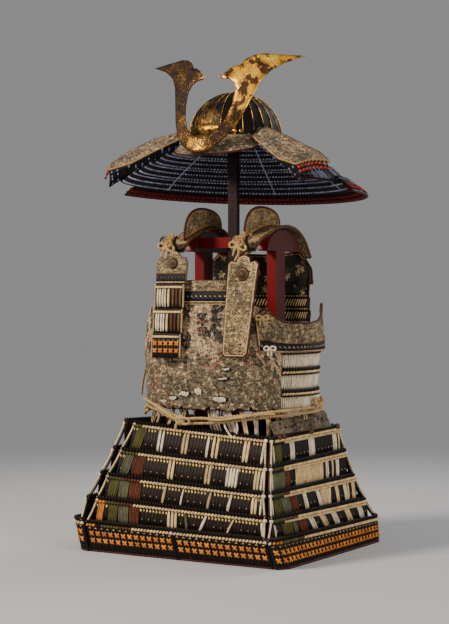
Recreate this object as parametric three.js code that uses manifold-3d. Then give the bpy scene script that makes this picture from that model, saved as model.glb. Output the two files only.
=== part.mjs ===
// A suit of Japanese laced armour on its lacquered display stand, in millimetres.
// The origin is on the floor under the middle of the stand. +Z is up, the front faces -Y,
// and +X is the wearer's left.

import * as THREE from 'three';
import { mergeVertices } from 'three/addons/utils/BufferGeometryUtils.js';
import Module from 'manifold-3d';

const manifold = await Module();
manifold.setup();

// ---------------------------------------------------------------- driving sizes

const SEAM_GAP = 0.3;            // clearance between pieces that touch

// Trunk of the cuirass: half sizes of its rounded plan at three heights
const TRUNK_SECTIONS = [
  { z: 318, halfWidth: 192, halfDepth: 149 },
  { z: 450, halfWidth: 198, halfDepth: 155 },
  { z: 660, halfWidth: 186, halfDepth: 150 },
];
const TRUNK_SQUARENESS = 2.4;    // 2 is an ellipse, higher is squarer
const TRUNK_FOOT = 318;
const TRUNK_OPENING_FRONT = -60; // degrees from the front, towards the wearer's right
const TRUNK_OPENING_BACK = -120;
const TRUNK_HEADS = [500, 456, 411, 364];   // top edges of the four trunk lames
const LAME_THICKNESS = 4;
const LAME_TUCK = 7;             // how far a lame's foot lies behind the next lame's face
const LAME_OVERLAP = 6;          // how far a trunk lame's foot reaches below the next head

// Skirt panels: a row for each cord line, from the top lame's line down to the hem.
// reach is from the middle of the suit to the face, start and end are the panel's two
// edges seen from outside, and startZ and endZ are the line's heights there.
const SKIRT_ROWS = {
  front: [
    { reach: 146, start: -171, end: 171, startZ: 278, endZ: 257 },
    { reach: 178, start: -186, end: 187, startZ: 220, endZ: 200 },
    { reach: 206, start: -203, end: 199, startZ: 166, endZ: 147 },
    { reach: 228, start: -217, end: 214, startZ: 116, endZ: 99 },
    { reach: 248, start: -233, end: 222, startZ: 63, endZ: 58 },
    { reach: 226, start: -233, end: 230, startZ: 0, endZ: 0 },
  ],
  left: [
    { reach: 181, start: -150, end: 168, startZ: 257, endZ: 262 },
    { reach: 196, start: -179, end: 176, startZ: 200, endZ: 207 },
    { reach: 208, start: -203, end: 196, startZ: 147, endZ: 150 },
    { reach: 224, start: -228, end: 222, startZ: 99, endZ: 93 },
    { reach: 246, start: -251, end: 260, startZ: 58, endZ: 50 },
    { reach: 257, start: -226, end: 250, startZ: 0, endZ: 0 },
  ],
  back: [
    { reach: 164, start: -171, end: 171, startZ: 262, endZ: 270 },
    { reach: 182, start: -187, end: 186, startZ: 206, endZ: 213 },
    { reach: 206, start: -199, end: 203, startZ: 150, endZ: 157 },
    { reach: 228, start: -214, end: 217, startZ: 96, endZ: 106 },
    { reach: 248, start: -214, end: 233, startZ: 56, endZ: 60 },
    { reach: 240, start: -214, end: 233, startZ: 0, endZ: 0 },
  ],
  right: [
    { reach: 197, start: -168, end: 148, startZ: 270, endZ: 281 },
    { reach: 206, start: -176, end: 179, startZ: 212, endZ: 222 },
    { reach: 225, start: -196, end: 201, startZ: 158, endZ: 168 },
    { reach: 244, start: -222, end: 226, startZ: 106, endZ: 115 },
    { reach: 278, start: -251, end: 254, startZ: 60, endZ: 68 },
    { reach: 280, start: -236, end: 226, startZ: 0, endZ: 0 },
  ],
};
// The way each panel faces, as a turn about +Z from the front
const SKIRT_TURN = { front: 0, left: 90, back: 180, right: 270 };
const SKIRT_LAME_THICKNESS = 5;
const SKIRT_HEAD_RISE = 11;      // a lame's top edge above its cord line
const SKIRT_FOOT_DROP = 4;       // a lame's foot below the next cord line
const SKIRT_TUCK = 9;            // a lame's foot behind the next lame's face
const HEM_TUCK = 15;             // the same above the hem lame, which leans in
const SKIRT_BOW = 2;             // how far a panel's ends fall back from its middle
const CORNER_RADIUS = 6;         // turned-in ends of the upper lames
const CORNER_SWEEP = 0.5;        // radians
const HEM_CORNER_RADIUS = 42;    // the side panels' hem lames turn round the corners
const HEM_CORNER_SWEEP = { left: 0.95, right: 1.5 };
const HEM_SPLIT = 1.5;           // half the slit in the front hem lame

// Helmet
const BOWL = { x: 0, y: 11, halfWidth: 103, halfLength: 113, rim: 917, crown: 1026, wall: 2.5 };
const NECK_LINES = [             // cord lines of the neck guard, from the bowl out to the rim
  { halfWidth: 107.5, halfLength: 117.5, z: 921 },
  { halfWidth: 148, halfLength: 156, z: 892 },
  { halfWidth: 186, halfLength: 190, z: 869 },
  { halfWidth: 224, halfLength: 226, z: 844 },
  { halfWidth: 262, halfLength: 263, z: 817 },
  { halfWidth: 298, halfLength: 298, z: 789 },
];
const NECK_FRONT_LIFT = 12;      // the rim sags at the back by twice this
const NECK_ROLL = 4;             // the wearer's right side sits a little higher
const NECK_FOLD = 59;            // degrees from the front where the lames are turned back
const NECK_END = 88;             // degrees from the front where the last lame ends

// Crest: half its outline, from the bottom middle round the antler to the inner bottom
const CREST = { y: -160, z: 880, sweep: 18, lean: 21, thickness: 1.6, middle: 26, notch: 37 };
const CREST_OUTLINE = [
  { out: 26, up: 4 },
  { out: 51, up: 21 },
  { out: 70, up: 43 },
  { out: 87, up: 76 },
  { out: 101, up: 120 },
  { out: 116, up: 166 },
  { out: 133, up: 192 },
  { out: 162, up: 211 },
  { out: 207, up: 226 },
  { out: 150, up: 232 },
  { out: 112, up: 236 },
  { out: 90, up: 233 },
  { out: 74, up: 224 },
  { out: 64, up: 210 },
  { out: 54, up: 209 },
  { out: 40, up: 201 },
  { out: 29, up: 190 },
  { out: 24, up: 178 },
  { out: 42, up: 176 },
  { out: 57, up: 167 },
  { out: 65, up: 150 },
  { out: 64, up: 118 },
  { out: 56, up: 84 },
  { out: 42, up: 58 },
  { out: 22, up: 42 },
];

// Stand
const BOARD = { x: 95, y: 42, length: 150, thickness: 25, foot: 667, top: 715, tenon: 20 };
const UPRIGHT = { width: 24, depth: 40, y: 27 };
const BASE = { width: 330, depth: 260, height: 18 };
const POLE = { y: 2, width: 23, depth: 13, clear: 2.6 };   // clear: below the bowl's crown
const ARM = { depth: 9, foot: 675, top: 699 };

// ---------------------------------------------------------------- materials

const finish = (color, roughness, metalness = 0) =>
  new THREE.MeshStandardMaterial({ color, roughness, metalness });

const LACQUER_RED = finish(0x6e1512, 0.25);
const LACED_BLACK = finish(0x1c1714, 0.6);
const PRINTED_LEATHER = finish(0x9a8a66, 0.75);
const WORN_LEATHER = finish(0x5b5145, 0.8);
const BLACK_IRON = finish(0x15120f, 0.4, 0.6);
const GILT_COPPER = finish(0xb08a3a, 0.4, 0.9);
const HEMP_CORD = finish(0xb59a6b, 0.85);

// ---------------------------------------------------------------- shape helpers

const point = (x, y, z) => new THREE.Vector3(x, y, z);
const radians = THREE.MathUtils.degToRad;
const mix = THREE.MathUtils.lerp;

// Closed solid from a list of points and the triangles on it, turned outward
function solid(points, faces) {
  let volume = 0;
  for (const [a, b, c] of faces) {
    volume += points[a].dot(points[b].clone().cross(points[c]));
  }
  const turned = volume < 0 ? faces.map(([a, b, c]) => [a, c, b]) : faces;
  const geometry = new THREE.BufferGeometry();
  const positions = new Float32Array(points.flatMap((p) => [p.x, p.y, p.z]));
  geometry.setAttribute('position', new THREE.BufferAttribute(positions, 3));
  geometry.setIndex(turned.flat());
  geometry.computeVertexNormals();
  return geometry;
}

// Wall of one thickness behind a face given by surface(along, down), each from 0 to 1.
// A closed wall joins its last column to its first. behind may give the other face itself.
function wall(surface, { columns, rows, thickness, closed = false, flip = false, behind }) {
  const across = closed ? columns : columns + 1;
  const face = [];
  for (let row = 0; row <= rows; row += 1) {
    for (let column = 0; column < across; column += 1) {
      face.push(surface(column / columns, row / rows));
    }
  }
  const at = (row, column) => row * across + (closed ? (column + across) % across : column);
  const inner = [];
  for (let row = 0; row <= rows; row += 1) {
    for (let column = 0; column < across; column += 1) {
      if (behind) {
        inner.push(behind(column / columns, row / rows));
        continue;
      }
      const left = closed ? column - 1 : Math.max(column - 1, 0);
      const right = closed ? column + 1 : Math.min(column + 1, across - 1);
      const alongStep = face[at(row, right)].clone().sub(face[at(row, left)]);
      const downStep = face[at(Math.min(row + 1, rows), column)].clone()
        .sub(face[at(Math.max(row - 1, 0), column)]);
      const normal = alongStep.cross(downStep).normalize();
      const side = flip ? -1 : 1;
      inner.push(face[at(row, column)].clone().addScaledVector(normal, side * thickness));
    }
  }
  const count = face.length;
  const faces = [];
  const quad = (a, b, c, d) => faces.push([a, b, c], [a, c, d]);
  for (let row = 0; row < rows; row += 1) {
    for (let column = 0; column < columns; column += 1) {
      const a = at(row, column);
      const b = at(row, column + 1);
      const c = at(row + 1, column + 1);
      const d = at(row + 1, column);
      quad(a, d, c, b);
      quad(count + a, count + b, count + c, count + d);
    }
  }
  for (let column = 0; column < columns; column += 1) {
    const a = at(0, column);
    const b = at(0, column + 1);
    quad(a, b, count + b, count + a);
    const c = at(rows, column);
    const d = at(rows, column + 1);
    quad(c, count + c, count + d, d);
  }
  if (!closed) {
    for (let row = 0; row < rows; row += 1) {
      quad(at(row, 0), count + at(row, 0), count + at(row + 1, 0), at(row + 1, 0));
      const a = at(row, columns);
      const b = at(row + 1, columns);
      quad(a, b, count + b, count + a);
    }
  }
  return solid([...face, ...inner], faces);
}

// Plate cut to a flat outline and bent: place(out, up, depth) puts its points in space.
// A mirrored plate has its half outline repeated on the other side of out = 0.
function plate(outline, thickness, place, mirrored = false) {
  const flat = outline.map(({ out, up }) => new THREE.Vector2(out, up));
  const triangles = THREE.ShapeUtils.triangulateShape(flat, []);
  const rim = flat.map((spot, index) => index);
  const spots = [...flat];
  if (mirrored) {
    // the outline's first and last points lie on the middle line and are shared
    const last = flat.length - 1;
    const twin = flat.map((spot, index) => {
      if (index === 0 || index === last) return index;
      spots.push(new THREE.Vector2(-spot.x, spot.y));
      return spots.length - 1;
    });
    for (const [a, b, c] of [...triangles]) {
      triangles.push([twin[a], twin[c], twin[b]]);
    }
    for (let index = last - 1; index > 0; index -= 1) {
      rim.push(twin[index]);
    }
  }
  const count = spots.length;
  const front = spots.map((spot) => place(spot.x, spot.y, 0));
  const back = spots.map((spot) => place(spot.x, spot.y, thickness));
  const faces = [];
  for (const [a, b, c] of triangles) {
    faces.push([a, b, c], [count + a, count + c, count + b]);
  }
  const turn = THREE.ShapeUtils.area(rim.map((index) => spots[index])) > 0 ? 1 : -1;
  rim.forEach((start, index) => {
    const end = rim[(index + 1) % rim.length];
    if (turn > 0) {
      faces.push([start, count + end, end], [start, count + start, count + end]);
    } else {
      faces.push([start, end, count + end], [start, count + end, count + start]);
    }
  });
  return solid([...front, ...back], faces);
}

// Two closed solids joined into one
function joined(first, second) {
  const [a, b] = [first, second].map((geometry) => {
    const bare = geometry.clone();
    bare.deleteAttribute('normal');
    bare.deleteAttribute('uv');
    const merged = mergeVertices(bare, 1e-4);
    return new manifold.Manifold(new manifold.Mesh({
      numProp: 3,
      vertProperties: new Float32Array(merged.attributes.position.array),
      triVerts: new Uint32Array(merged.index.array),
    }));
  });
  const mesh = a.add(b).getMesh();
  const geometry = new THREE.BufferGeometry();
  geometry.setAttribute('position', new THREE.BufferAttribute(mesh.vertProperties, 3));
  geometry.setIndex(new THREE.BufferAttribute(mesh.triVerts, 1));
  geometry.computeVertexNormals();
  return geometry;
}

const suit = new THREE.Group();

function add(name, geometry, material, x = 0, y = 0, z = 0) {
  const mesh = new THREE.Mesh(geometry, material);
  mesh.name = name;
  mesh.position.set(x, y, z);
  suit.add(mesh);
  return mesh;
}

// ---------------------------------------------------------------- trunk of the cuirass

function trunkHalfSizes(z) {
  const last = TRUNK_SECTIONS.length - 1;
  let index = 0;
  while (index < last - 1 && z > TRUNK_SECTIONS[index + 1].z) index += 1;
  const low = TRUNK_SECTIONS[index];
  const high = TRUNK_SECTIONS[index + 1];
  const share = (z - low.z) / (high.z - low.z);
  return [mix(low.halfWidth, high.halfWidth, share), mix(low.halfDepth, high.halfDepth, share)];
}

// Point on the trunk at an angle from the front (positive to the wearer's left)
function trunkPoint(angle, z, out = 0) {
  const [halfWidth, halfDepth] = trunkHalfSizes(z);
  const power = 2 / TRUNK_SQUARENESS;
  const sine = Math.sin(radians(angle));
  const cosine = Math.cos(radians(angle));
  const x = (halfWidth + out) * Math.sign(sine) * Math.abs(sine) ** power;
  const y = -(halfDepth + out) * Math.sign(cosine) * Math.abs(cosine) ** power;
  return point(x, y, z);
}

// A trunk lame: its head stands out at the face, its foot is tucked behind the next head
function trunkLame(fromAngle, toAngle, head, foot, tuck) {
  return wall(
    (along, down) =>
      trunkPoint(mix(fromAngle, toAngle, along), mix(head, foot, down), -tuck * down),
    { columns: Math.round((toAngle - fromAngle) / 9), rows: 1, thickness: LAME_THICKNESS },
  );
}

TRUNK_HEADS.forEach((head, index) => {
  const next = TRUNK_HEADS[index + 1];
  const foot = next === undefined ? TRUNK_FOOT : next - LAME_OVERLAP;
  const tuck = next === undefined ? 0 : LAME_TUCK;
  const end = 360 + TRUNK_OPENING_BACK;
  add(`trunk_lame_${index + 1}`, trunkLame(TRUNK_OPENING_FRONT, end, head, foot, tuck),
    LACED_BLACK);
});

const FRONT_UPPER = { angle: 40, foot: 503, head: 548, out: -1.5 };
add('front_upper_lame', wall(
  (along, down) => trunkPoint(
    mix(-FRONT_UPPER.angle, FRONT_UPPER.angle, along),
    mix(FRONT_UPPER.head, FRONT_UPPER.foot, down),
    FRONT_UPPER.out,
  ),
  { columns: 10, rows: 1, thickness: LAME_THICKNESS },
), LACED_BLACK);

// How far down its own lame a place on a stepped wall is, from 0 at each head to 1
function stepShare(down, steps) {
  const fall = down * steps;
  return down === 1 ? 1 : fall - Math.floor(fall + 1e-6);
}

// Three upper back lames, laced into one stepped wall
const BACK_UPPER = { angle: 40, foot: 504, head: 593, steps: 3, step: 3 };
add('back_upper_lames', wall(
  (along, down) => trunkPoint(
    mix(180 - BACK_UPPER.angle, 180 + BACK_UPPER.angle, along),
    mix(BACK_UPPER.head, BACK_UPPER.foot, down),
    -BACK_UPPER.step * stepShare(down, BACK_UPPER.steps),
  ),
  { columns: 10, rows: 6, thickness: LAME_THICKNESS },
), LACED_BLACK);

// Printed leather sheet laid over the front lames, cut away at both armholes
const LEATHER = { out: 4.8, thickness: 2.4, angle: 58, foot: 317 };
const LEATHER_EDGE = [           // height of its upper edge, by angle from the front
  { angle: 0, top: 549 },
  { angle: 34, top: 549 },
  { angle: 42, top: 540 },
  { angle: 50, top: 500 },
  { angle: 58, top: 448 },
];

function heightAt(table, angle) {
  const reach = Math.abs(angle);
  let index = 0;
  while (index < table.length - 2 && reach > table[index + 1].angle) index += 1;
  const low = table[index];
  const high = table[index + 1];
  return mix(low.top, high.top, Math.min((reach - low.angle) / (high.angle - low.angle), 1));
}

add('front_leather', wall(
  (along, down) => {
    const angle = mix(-LEATHER.angle, LEATHER.angle, along);
    return trunkPoint(angle, mix(heightAt(LEATHER_EDGE, angle), LEATHER.foot, down), LEATHER.out);
  },
  { columns: 24, rows: 4, thickness: LEATHER.thickness },
), PRINTED_LEATHER);

// Chest plate above the leather sheet
const CHEST = { angle: 33, foot: 550, head: 600, out: 4.8, thickness: 3.2 };
add('chest_plate', wall(
  (along, down) => trunkPoint(
    mix(-CHEST.angle, CHEST.angle, along),
    mix(CHEST.head, CHEST.foot, down),
    CHEST.out,
  ),
  { columns: 10, rows: 1, thickness: CHEST.thickness },
), PRINTED_LEATHER);

// Back plate with its two rounded upper corners. Above its bend it leans in under the
// ends of the shoulder straps.
const BACK_PLATE = { angle: 43, foot: 594, out: 3.2, thickness: 3.2, bend: 630, lean: 0.44 };
const BACK_EDGE = [
  { angle: 0, top: 662 },
  { angle: 22, top: 665 },
  { angle: 34, top: 667 },
  { angle: 40, top: 650 },
  { angle: 43, top: 620 },
];
add('back_plate', wall(
  (along, down) => {
    const angle = mix(-BACK_PLATE.angle, BACK_PLATE.angle, along);
    const height = mix(heightAt(BACK_EDGE, angle), BACK_PLATE.foot, down);
    const lean = Math.max(height - BACK_PLATE.bend, 0) * BACK_PLATE.lean;
    return trunkPoint(180 + angle, height, BACK_PLATE.out - lean);
  },
  { columns: 16, rows: 4, thickness: BACK_PLATE.thickness },
), PRINTED_LEATHER);

// Armpit guard on the wearer's left: a saddle between two horns
const ARMPIT = { from: 40, to: 127, foot: 446, out: 9, thickness: 3.2 };
const ARMPIT_EDGE = [
  { angle: 40, top: 530 },
  { angle: 44, top: 540 },
  { angle: 48, top: 534 },
  { angle: 53, top: 519 },
  { angle: 60, top: 511 },
  { angle: 70, top: 507 },
  { angle: 88, top: 508 },
  { angle: 97, top: 513 },
  { angle: 106, top: 526 },
  { angle: 114, top: 541 },
  { angle: 119, top: 550 },
  { angle: 124, top: 547 },
  { angle: 127, top: 534 },
];
add('left_armpit_guard', wall(
  (along, down) => {
    const angle = mix(ARMPIT.from, ARMPIT.to, along);
    return trunkPoint(angle, mix(heightAt(ARMPIT_EDGE, angle), ARMPIT.foot, down), ARMPIT.out);
  },
  { columns: 24, rows: 2, thickness: ARMPIT.thickness },
), PRINTED_LEATHER);

// Side plate that closes the wearer's right side, just inside the trunk's two ends
const SIDE_PLATE = { from: -128, to: -54, foot: 323, saddle: 492, horn: 22, out: -12, thickness: 3 };
add('right_side_plate', wall(
  (along, down) => {
    const swing = 2 * along - 1;
    const top = SIDE_PLATE.saddle + SIDE_PLATE.horn * swing * swing;
    return trunkPoint(
      mix(SIDE_PLATE.from, SIDE_PLATE.to, along),
      mix(top, SIDE_PLATE.foot, down),
      SIDE_PLATE.out,
    );
  },
  { columns: 10, rows: 2, thickness: SIDE_PLATE.thickness },
), PRINTED_LEATHER);

// ---------------------------------------------------------------- shoulder straps

// The strap's middle line in side view, from its front end over the shoulder to the back
const STRAP_LINE = new THREE.CatmullRomCurve3([
  point(0, -101, 668),
  point(0, -78, 690),
  point(0, -42, 704),
  point(0, -4, 717),
  point(0, 42, 723),
  point(0, 84, 715),
  point(0, 118, 692),
  point(0, 142, 655),
]);
const STRAP = { middle: 92, splay: 7, width: 46, thickness: 5 };

function strapPoint(side, across, along, lift = 0) {
  const spot = STRAP_LINE.getPoint(along);
  const way = STRAP_LINE.getTangent(along);
  const x = side * (STRAP.middle + STRAP.splay * along * along + across * STRAP.width / 2);
  return point(x, spot.y - way.z * lift, spot.z + way.y * lift);
}

// Standing half-round plate on each strap, beside the neck
const WING = { inset: 13, from: -84, to: 74, top: 765, thickness: 3, clear: 1.2, end: 2 };
const WING_STEPS = { arc: 12, foot: 8 };
const WING_FULLNESS = 0.75;      // 1 is a half ellipse, lower is fuller

function wingOutline() {
  const middle = (WING.from + WING.to) / 2;
  const half = (WING.to - WING.from) / 2;
  const outline = [];
  for (let step = 0; step <= WING_STEPS.arc; step += 1) {
    const turn = Math.PI * step / WING_STEPS.arc;
    const out = middle - half * Math.cos(turn);
    const base = strapTopAt(out) + WING.clear + WING.end;
    outline.push({ out, up: mix(base, WING.top, Math.sin(turn) ** WING_FULLNESS) });
  }
  for (let step = WING_STEPS.foot - 1; step > 0; step -= 1) {
    const out = mix(WING.from, WING.to, step / WING_STEPS.foot);
    outline.push({ out, up: strapTopAt(out) + WING.clear });
  }
  return outline;
}

// Height of the strap's upper face over a given y
function strapTopAt(y) {
  let low = 0;
  let high = 1;
  for (let turn = 0; turn < 30; turn += 1) {
    const middle = (low + high) / 2;
    if (strapPoint(1, 0, middle, STRAP.thickness / 2).y < y) low = middle;
    else high = middle;
  }
  return strapPoint(1, 0, low, STRAP.thickness / 2).z;
}

for (const [side, label] of [[1, 'left'], [-1, 'right']]) {
  add(`${label}_shoulder_strap`, wall(
    (along, down) => strapPoint(side, 2 * along - 1, down, STRAP.thickness / 2),
    { columns: 2, rows: 18, thickness: STRAP.thickness, flip: side > 0 },
  ), PRINTED_LEATHER);
  add(`${label}_strap_wing`, plate(
    wingOutline(),
    WING.thickness,
    (out, up, depth) => point(side * (STRAP.middle - WING.inset - depth), out, up),
  ), PRINTED_LEATHER);
}

// ---------------------------------------------------------------- chest guards

// Stiff leather-faced plate over the left chest cord
const LEFT_GUARD = { y: -158, thickness: 3.5, top: 640, length: 200, lean: 3, drift: 21 };
const LEFT_GUARD_OUTLINE = [
  { out: -30, up: -196 },
  { out: -24, up: -202 },
  { out: 24, up: -202 },
  { out: 30, up: -196 },
  { out: 37, up: -4 },
  { out: 30, up: 2 },
  { out: 17, up: -2 },
  { out: 13, up: 10 },
  { out: 0, up: 15 },
  { out: -13, up: 10 },
  { out: -17, up: -2 },
  { out: -30, up: 2 },
  { out: -37, up: -4 },
];
const LEFT_GUARD_X = 119;        // its middle at the top edge
add('left_chest_guard', plate(LEFT_GUARD_OUTLINE, LEFT_GUARD.thickness, (out, up, depth) => {
  const fall = -up / LEFT_GUARD.length;
  return point(
    LEFT_GUARD_X + out - LEFT_GUARD.drift * fall,
    LEFT_GUARD.y - LEFT_GUARD.lean * fall + depth,
    LEFT_GUARD.top + up,
  );
}), PRINTED_LEATHER);

// Laced guard over the right chest cord: a lobed cap and three lames
const RIGHT_GUARD = { x: -56, y: -167, lean: 6, drift: 14, top: 650, foot: 430, thickness: 3.5 };

function rightGuardPoint(out, z, depth) {
  const fall = (RIGHT_GUARD.top - z) / (RIGHT_GUARD.top - RIGHT_GUARD.foot);
  return point(
    RIGHT_GUARD.x + out - RIGHT_GUARD.drift * fall,
    RIGHT_GUARD.y - RIGHT_GUARD.lean * fall + depth,
    z,
  );
}
const RIGHT_CAP_OUTLINE = [
  { out: -38, up: 596 },
  { out: 38, up: 596 },
  { out: 39, up: 640 },
  { out: 33, up: 651 },
  { out: 26, up: 650 },
  { out: 21, up: 654 },
  { out: 12, up: 662 },
  { out: 2, up: 665 },
  { out: -8, up: 661 },
  { out: -14, up: 652 },
  { out: -18, up: 642 },
  { out: -24, up: 650 },
  { out: -32, up: 650 },
  { out: -38, up: 640 },
];
add('right_guard_cap', plate(RIGHT_CAP_OUTLINE, RIGHT_GUARD.thickness,
  (out, up, depth) => rightGuardPoint(out, up, depth)), PRINTED_LEATHER);

// Its three laced lames are one stepped wall, each head standing out over the foot above
const RIGHT_LAMES = { head: 594, foot: 431, steps: 3, step: 4, half: 37, thickness: 3 };
add('right_guard_lames', wall(
  (along, down) => rightGuardPoint(
    mix(-RIGHT_LAMES.half, RIGHT_LAMES.half, along),
    mix(RIGHT_LAMES.head, RIGHT_LAMES.foot, down),
    RIGHT_LAMES.step * stepShare(down, RIGHT_LAMES.steps) - RIGHT_LAMES.step,
  ),
  { columns: 4, rows: 6, thickness: RIGHT_LAMES.thickness },
), LACED_BLACK);

// ---------------------------------------------------------------- skirt

// Place along one cord line: the panel's ends turn in round the corner
function turnedEnd(share, start, end, radius, sweep) {
  const half = (end - start) / 2;
  const straight = half - radius * Math.sin(sweep);
  const length = straight + radius * sweep;
  const run = Math.abs(2 * share - 1) * length;
  const sign = share < 0.5 ? -1 : 1;
  const turn = Math.max(run - straight, 0) / radius;
  const reach = turn > 0 ? straight + radius * Math.sin(turn) : run;
  return { across: (start + end) / 2 + sign * reach, back: radius * (1 - Math.cos(turn)) };
}

// Point on a lame of a skirt panel: along its width, down from head to foot
function skirtPoint(panel, row, along, down) {
  const rows = SKIRT_ROWS[panel];
  const upper = rows[row];
  const lower = rows[row + 1];
  const hem = row === rows.length - 2;
  const corner = hem && (panel === 'left' || panel === 'right');
  const radius = corner ? HEM_CORNER_RADIUS : CORNER_RADIUS;
  const sweep = corner ? HEM_CORNER_SWEEP[panel] : CORNER_SWEEP;
  const tuck = row === rows.length - 3 ? HEM_TUCK : SKIRT_TUCK;
  const reach = mix(upper.reach, lower.reach - (hem ? 0 : tuck), down);
  const start = mix(upper.start, hem ? lower.start : upper.start, down);
  const end = mix(upper.end, hem ? lower.end : upper.end, down);
  const head = mix(upper.startZ, upper.endZ, along) + SKIRT_HEAD_RISE;
  const foot = mix(lower.startZ, lower.endZ, along) - (hem ? 0 : SKIRT_FOOT_DROP);
  const { across, back } = turnedEnd(along, start, end, radius, sweep);
  const bow = SKIRT_BOW * (2 * along - 1) ** 2;
  const turn = radians(SKIRT_TURN[panel]);
  const depth = -(reach - back - bow);
  return point(
    across * Math.cos(turn) - depth * Math.sin(turn),
    across * Math.sin(turn) + depth * Math.cos(turn),
    mix(head, foot, down),
  );
}

function skirtLame(panel, row, from = 0, to = 1) {
  const columns = Math.max(6, Math.round(18 * (to - from)));
  return wall(
    (along, down) => skirtPoint(panel, row, mix(from, to, along), down),
    { columns, rows: 1, thickness: SKIRT_LAME_THICKNESS },
  );
}

for (const panel of Object.keys(SKIRT_ROWS)) {
  for (let row = 0; row < 5; row += 1) {
    if (panel === 'front' && row === 4) {
      const { start, end } = SKIRT_ROWS.front[row];
      const slit = HEM_SPLIT / (end - start);
      add('skirt_front_lame_5_right', skirtLame(panel, row, 0, 0.5 - slit), LACED_BLACK);
      add('skirt_front_lame_5_left', skirtLame(panel, row, 0.5 + slit, 1), LACED_BLACK);
    } else {
      add(`skirt_${panel}_lame_${row + 1}`, skirtLame(panel, row), LACED_BLACK);
    }
  }
}

// Open lacing that hangs the skirt inside the foot of the trunk
const CURTAIN = { top: 330, foot: 262, inset: 20, thickness: 2 };
const CURTAIN_FOOT = { halfWidth: 170, halfDepth: 144, y: 8, squareness: 4 };
add('skirt_hanging_lacing', wall(
  (along, down) => {
    const angle = 360 * along;
    const upper = trunkPoint(angle, TRUNK_FOOT, -CURTAIN.inset);
    const sine = Math.sin(radians(angle));
    const cosine = Math.cos(radians(angle));
    const square = 2 / CURTAIN_FOOT.squareness;
    const x = CURTAIN_FOOT.halfWidth * Math.sign(sine) * Math.abs(sine) ** square;
    const depth = CURTAIN_FOOT.halfDepth * Math.sign(cosine) * Math.abs(cosine) ** square;
    return point(
      mix(upper.x, x, down),
      mix(upper.y, CURTAIN_FOOT.y - depth, down),
      mix(CURTAIN.top, CURTAIN.foot, down),
    );
  },
  { columns: 40, rows: 2, thickness: CURTAIN.thickness, closed: true },
), LACED_BLACK);

// Leather strip over the head of the left skirt panel
const STRIP = { from: -144, to: 122, headFrom: 298, headTo: 308, foot: 271, thickness: 2.4 };
const STRIP_X = { head: 177, foot: 188 };
const STRIP_ROUND = { share: 0.2, drop: 10, back: 2 };   // its rounded ends
add('left_skirt_leather', wall(
  (along, down) => {
    const { share } = STRIP_ROUND;
    const end = Math.max(Math.abs(2 * along - 1) - (1 - share), 0) / share;
    const head = mix(STRIP.headFrom, STRIP.headTo, along) - STRIP_ROUND.drop * end * end;
    return point(
      mix(STRIP_X.head, STRIP_X.foot, down) - STRIP_ROUND.back * end,
      mix(STRIP.from, STRIP.to, along),
      mix(head, STRIP.foot, down),
    );
  },
  { columns: 12, rows: 2, thickness: STRIP.thickness },
), WORN_LEATHER);

// ---------------------------------------------------------------- cords

// A round cord swept along a curve
function cordSolid(curve, radius, sides, steps) {
  const section = new THREE.Shape();
  for (let side = 0; side < sides; side += 1) {
    const turn = 2 * Math.PI * side / sides;
    const x = radius * Math.cos(turn);
    const y = radius * Math.sin(turn);
    if (side === 0) section.moveTo(x, y);
    else section.lineTo(x, y);
  }
  section.closePath();
  return new THREE.ExtrudeGeometry(section, { steps, extrudePath: curve, bevelEnabled: false });
}

// Waist rope: two turns round the foot of the trunk, from the knot on the front right.
// It rides higher at the back by twice its rise, and each turn lies below the last.
const ROPE = { radius: 4, out: 10, z: 312, rise: 16, pitch: -9.5, from: -46, turns: 2 };
const ROPE_STEPS = 40;           // in each turn
const ropePoints = [];
for (let step = 0; step <= ROPE_STEPS * ROPE.turns; step += 1) {
  const share = step / ROPE_STEPS;
  const angle = ROPE.from + 360 * share;
  const high = ROPE.z + ROPE.rise * (1 - Math.cos(radians(angle)));
  ropePoints.push(trunkPoint(angle, TRUNK_FOOT, ROPE.out).setZ(high + ROPE.pitch * share));
}
const ropeLine = new THREE.CatmullRomCurve3(ropePoints);
add('waist_rope', cordSolid(ropeLine, ROPE.radius, 8, ROPE_STEPS * ROPE.turns), HEMP_CORD);

// Free leather strap end that hangs from the rope at the wearer's right
const TAIL = { width: 7, thickness: 3, steps: 8 };
const TAIL_ROUTE = [             // from the trunk's open edge down to the loose end
  point(-192, -62, 428),
  point(-194, -62, 412),
  point(-198, -62, 394),
  point(-203, -61, 376),
  point(-206, -61, 358),
  point(-208, -61, 340),
];
const tailLine = new THREE.CatmullRomCurve3(TAIL_ROUTE);
add('waist_strap_end', wall(
  (along, down) => {
    const spot = tailLine.getPoint(down);
    return spot.add(point(0, mix(-TAIL.width / 2, TAIL.width / 2, along), 0));
  },
  { columns: 1, rows: TAIL.steps, thickness: TAIL.thickness },
), HEMP_CORD);

// ---------------------------------------------------------------- helmet

// Bowl: two halves riveted along the middle, of half-ellipsoid form, with a small hole at
// the crown and an upright band at the rim
const BOWL_BAND = 6;
const BOWL_RISES = [0.95, 0.84, 0.7, 0.54, 0.36, 0.18, 0];   // shares of the way to the crown
function bowlPoint(side, along, down, inset) {
  const turn = Math.PI * along;
  const step = Math.round(down * BOWL_RISES.length);
  const lift = (BOWL_RISES[step] ?? 0) * Math.PI / 2;
  const ring = Math.cos(lift);
  const across = Math.max((BOWL.halfWidth - inset) * ring * Math.sin(turn), SEAM_GAP / 2);
  const high = (BOWL.crown - inset - BOWL.rim - BOWL_BAND) * Math.sin(lift);
  return point(
    BOWL.x + side * across,
    BOWL.y - (BOWL.halfLength - inset) * ring * Math.cos(turn),
    step === BOWL_RISES.length ? BOWL.rim : BOWL.rim + BOWL_BAND + high,
  );
}

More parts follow.
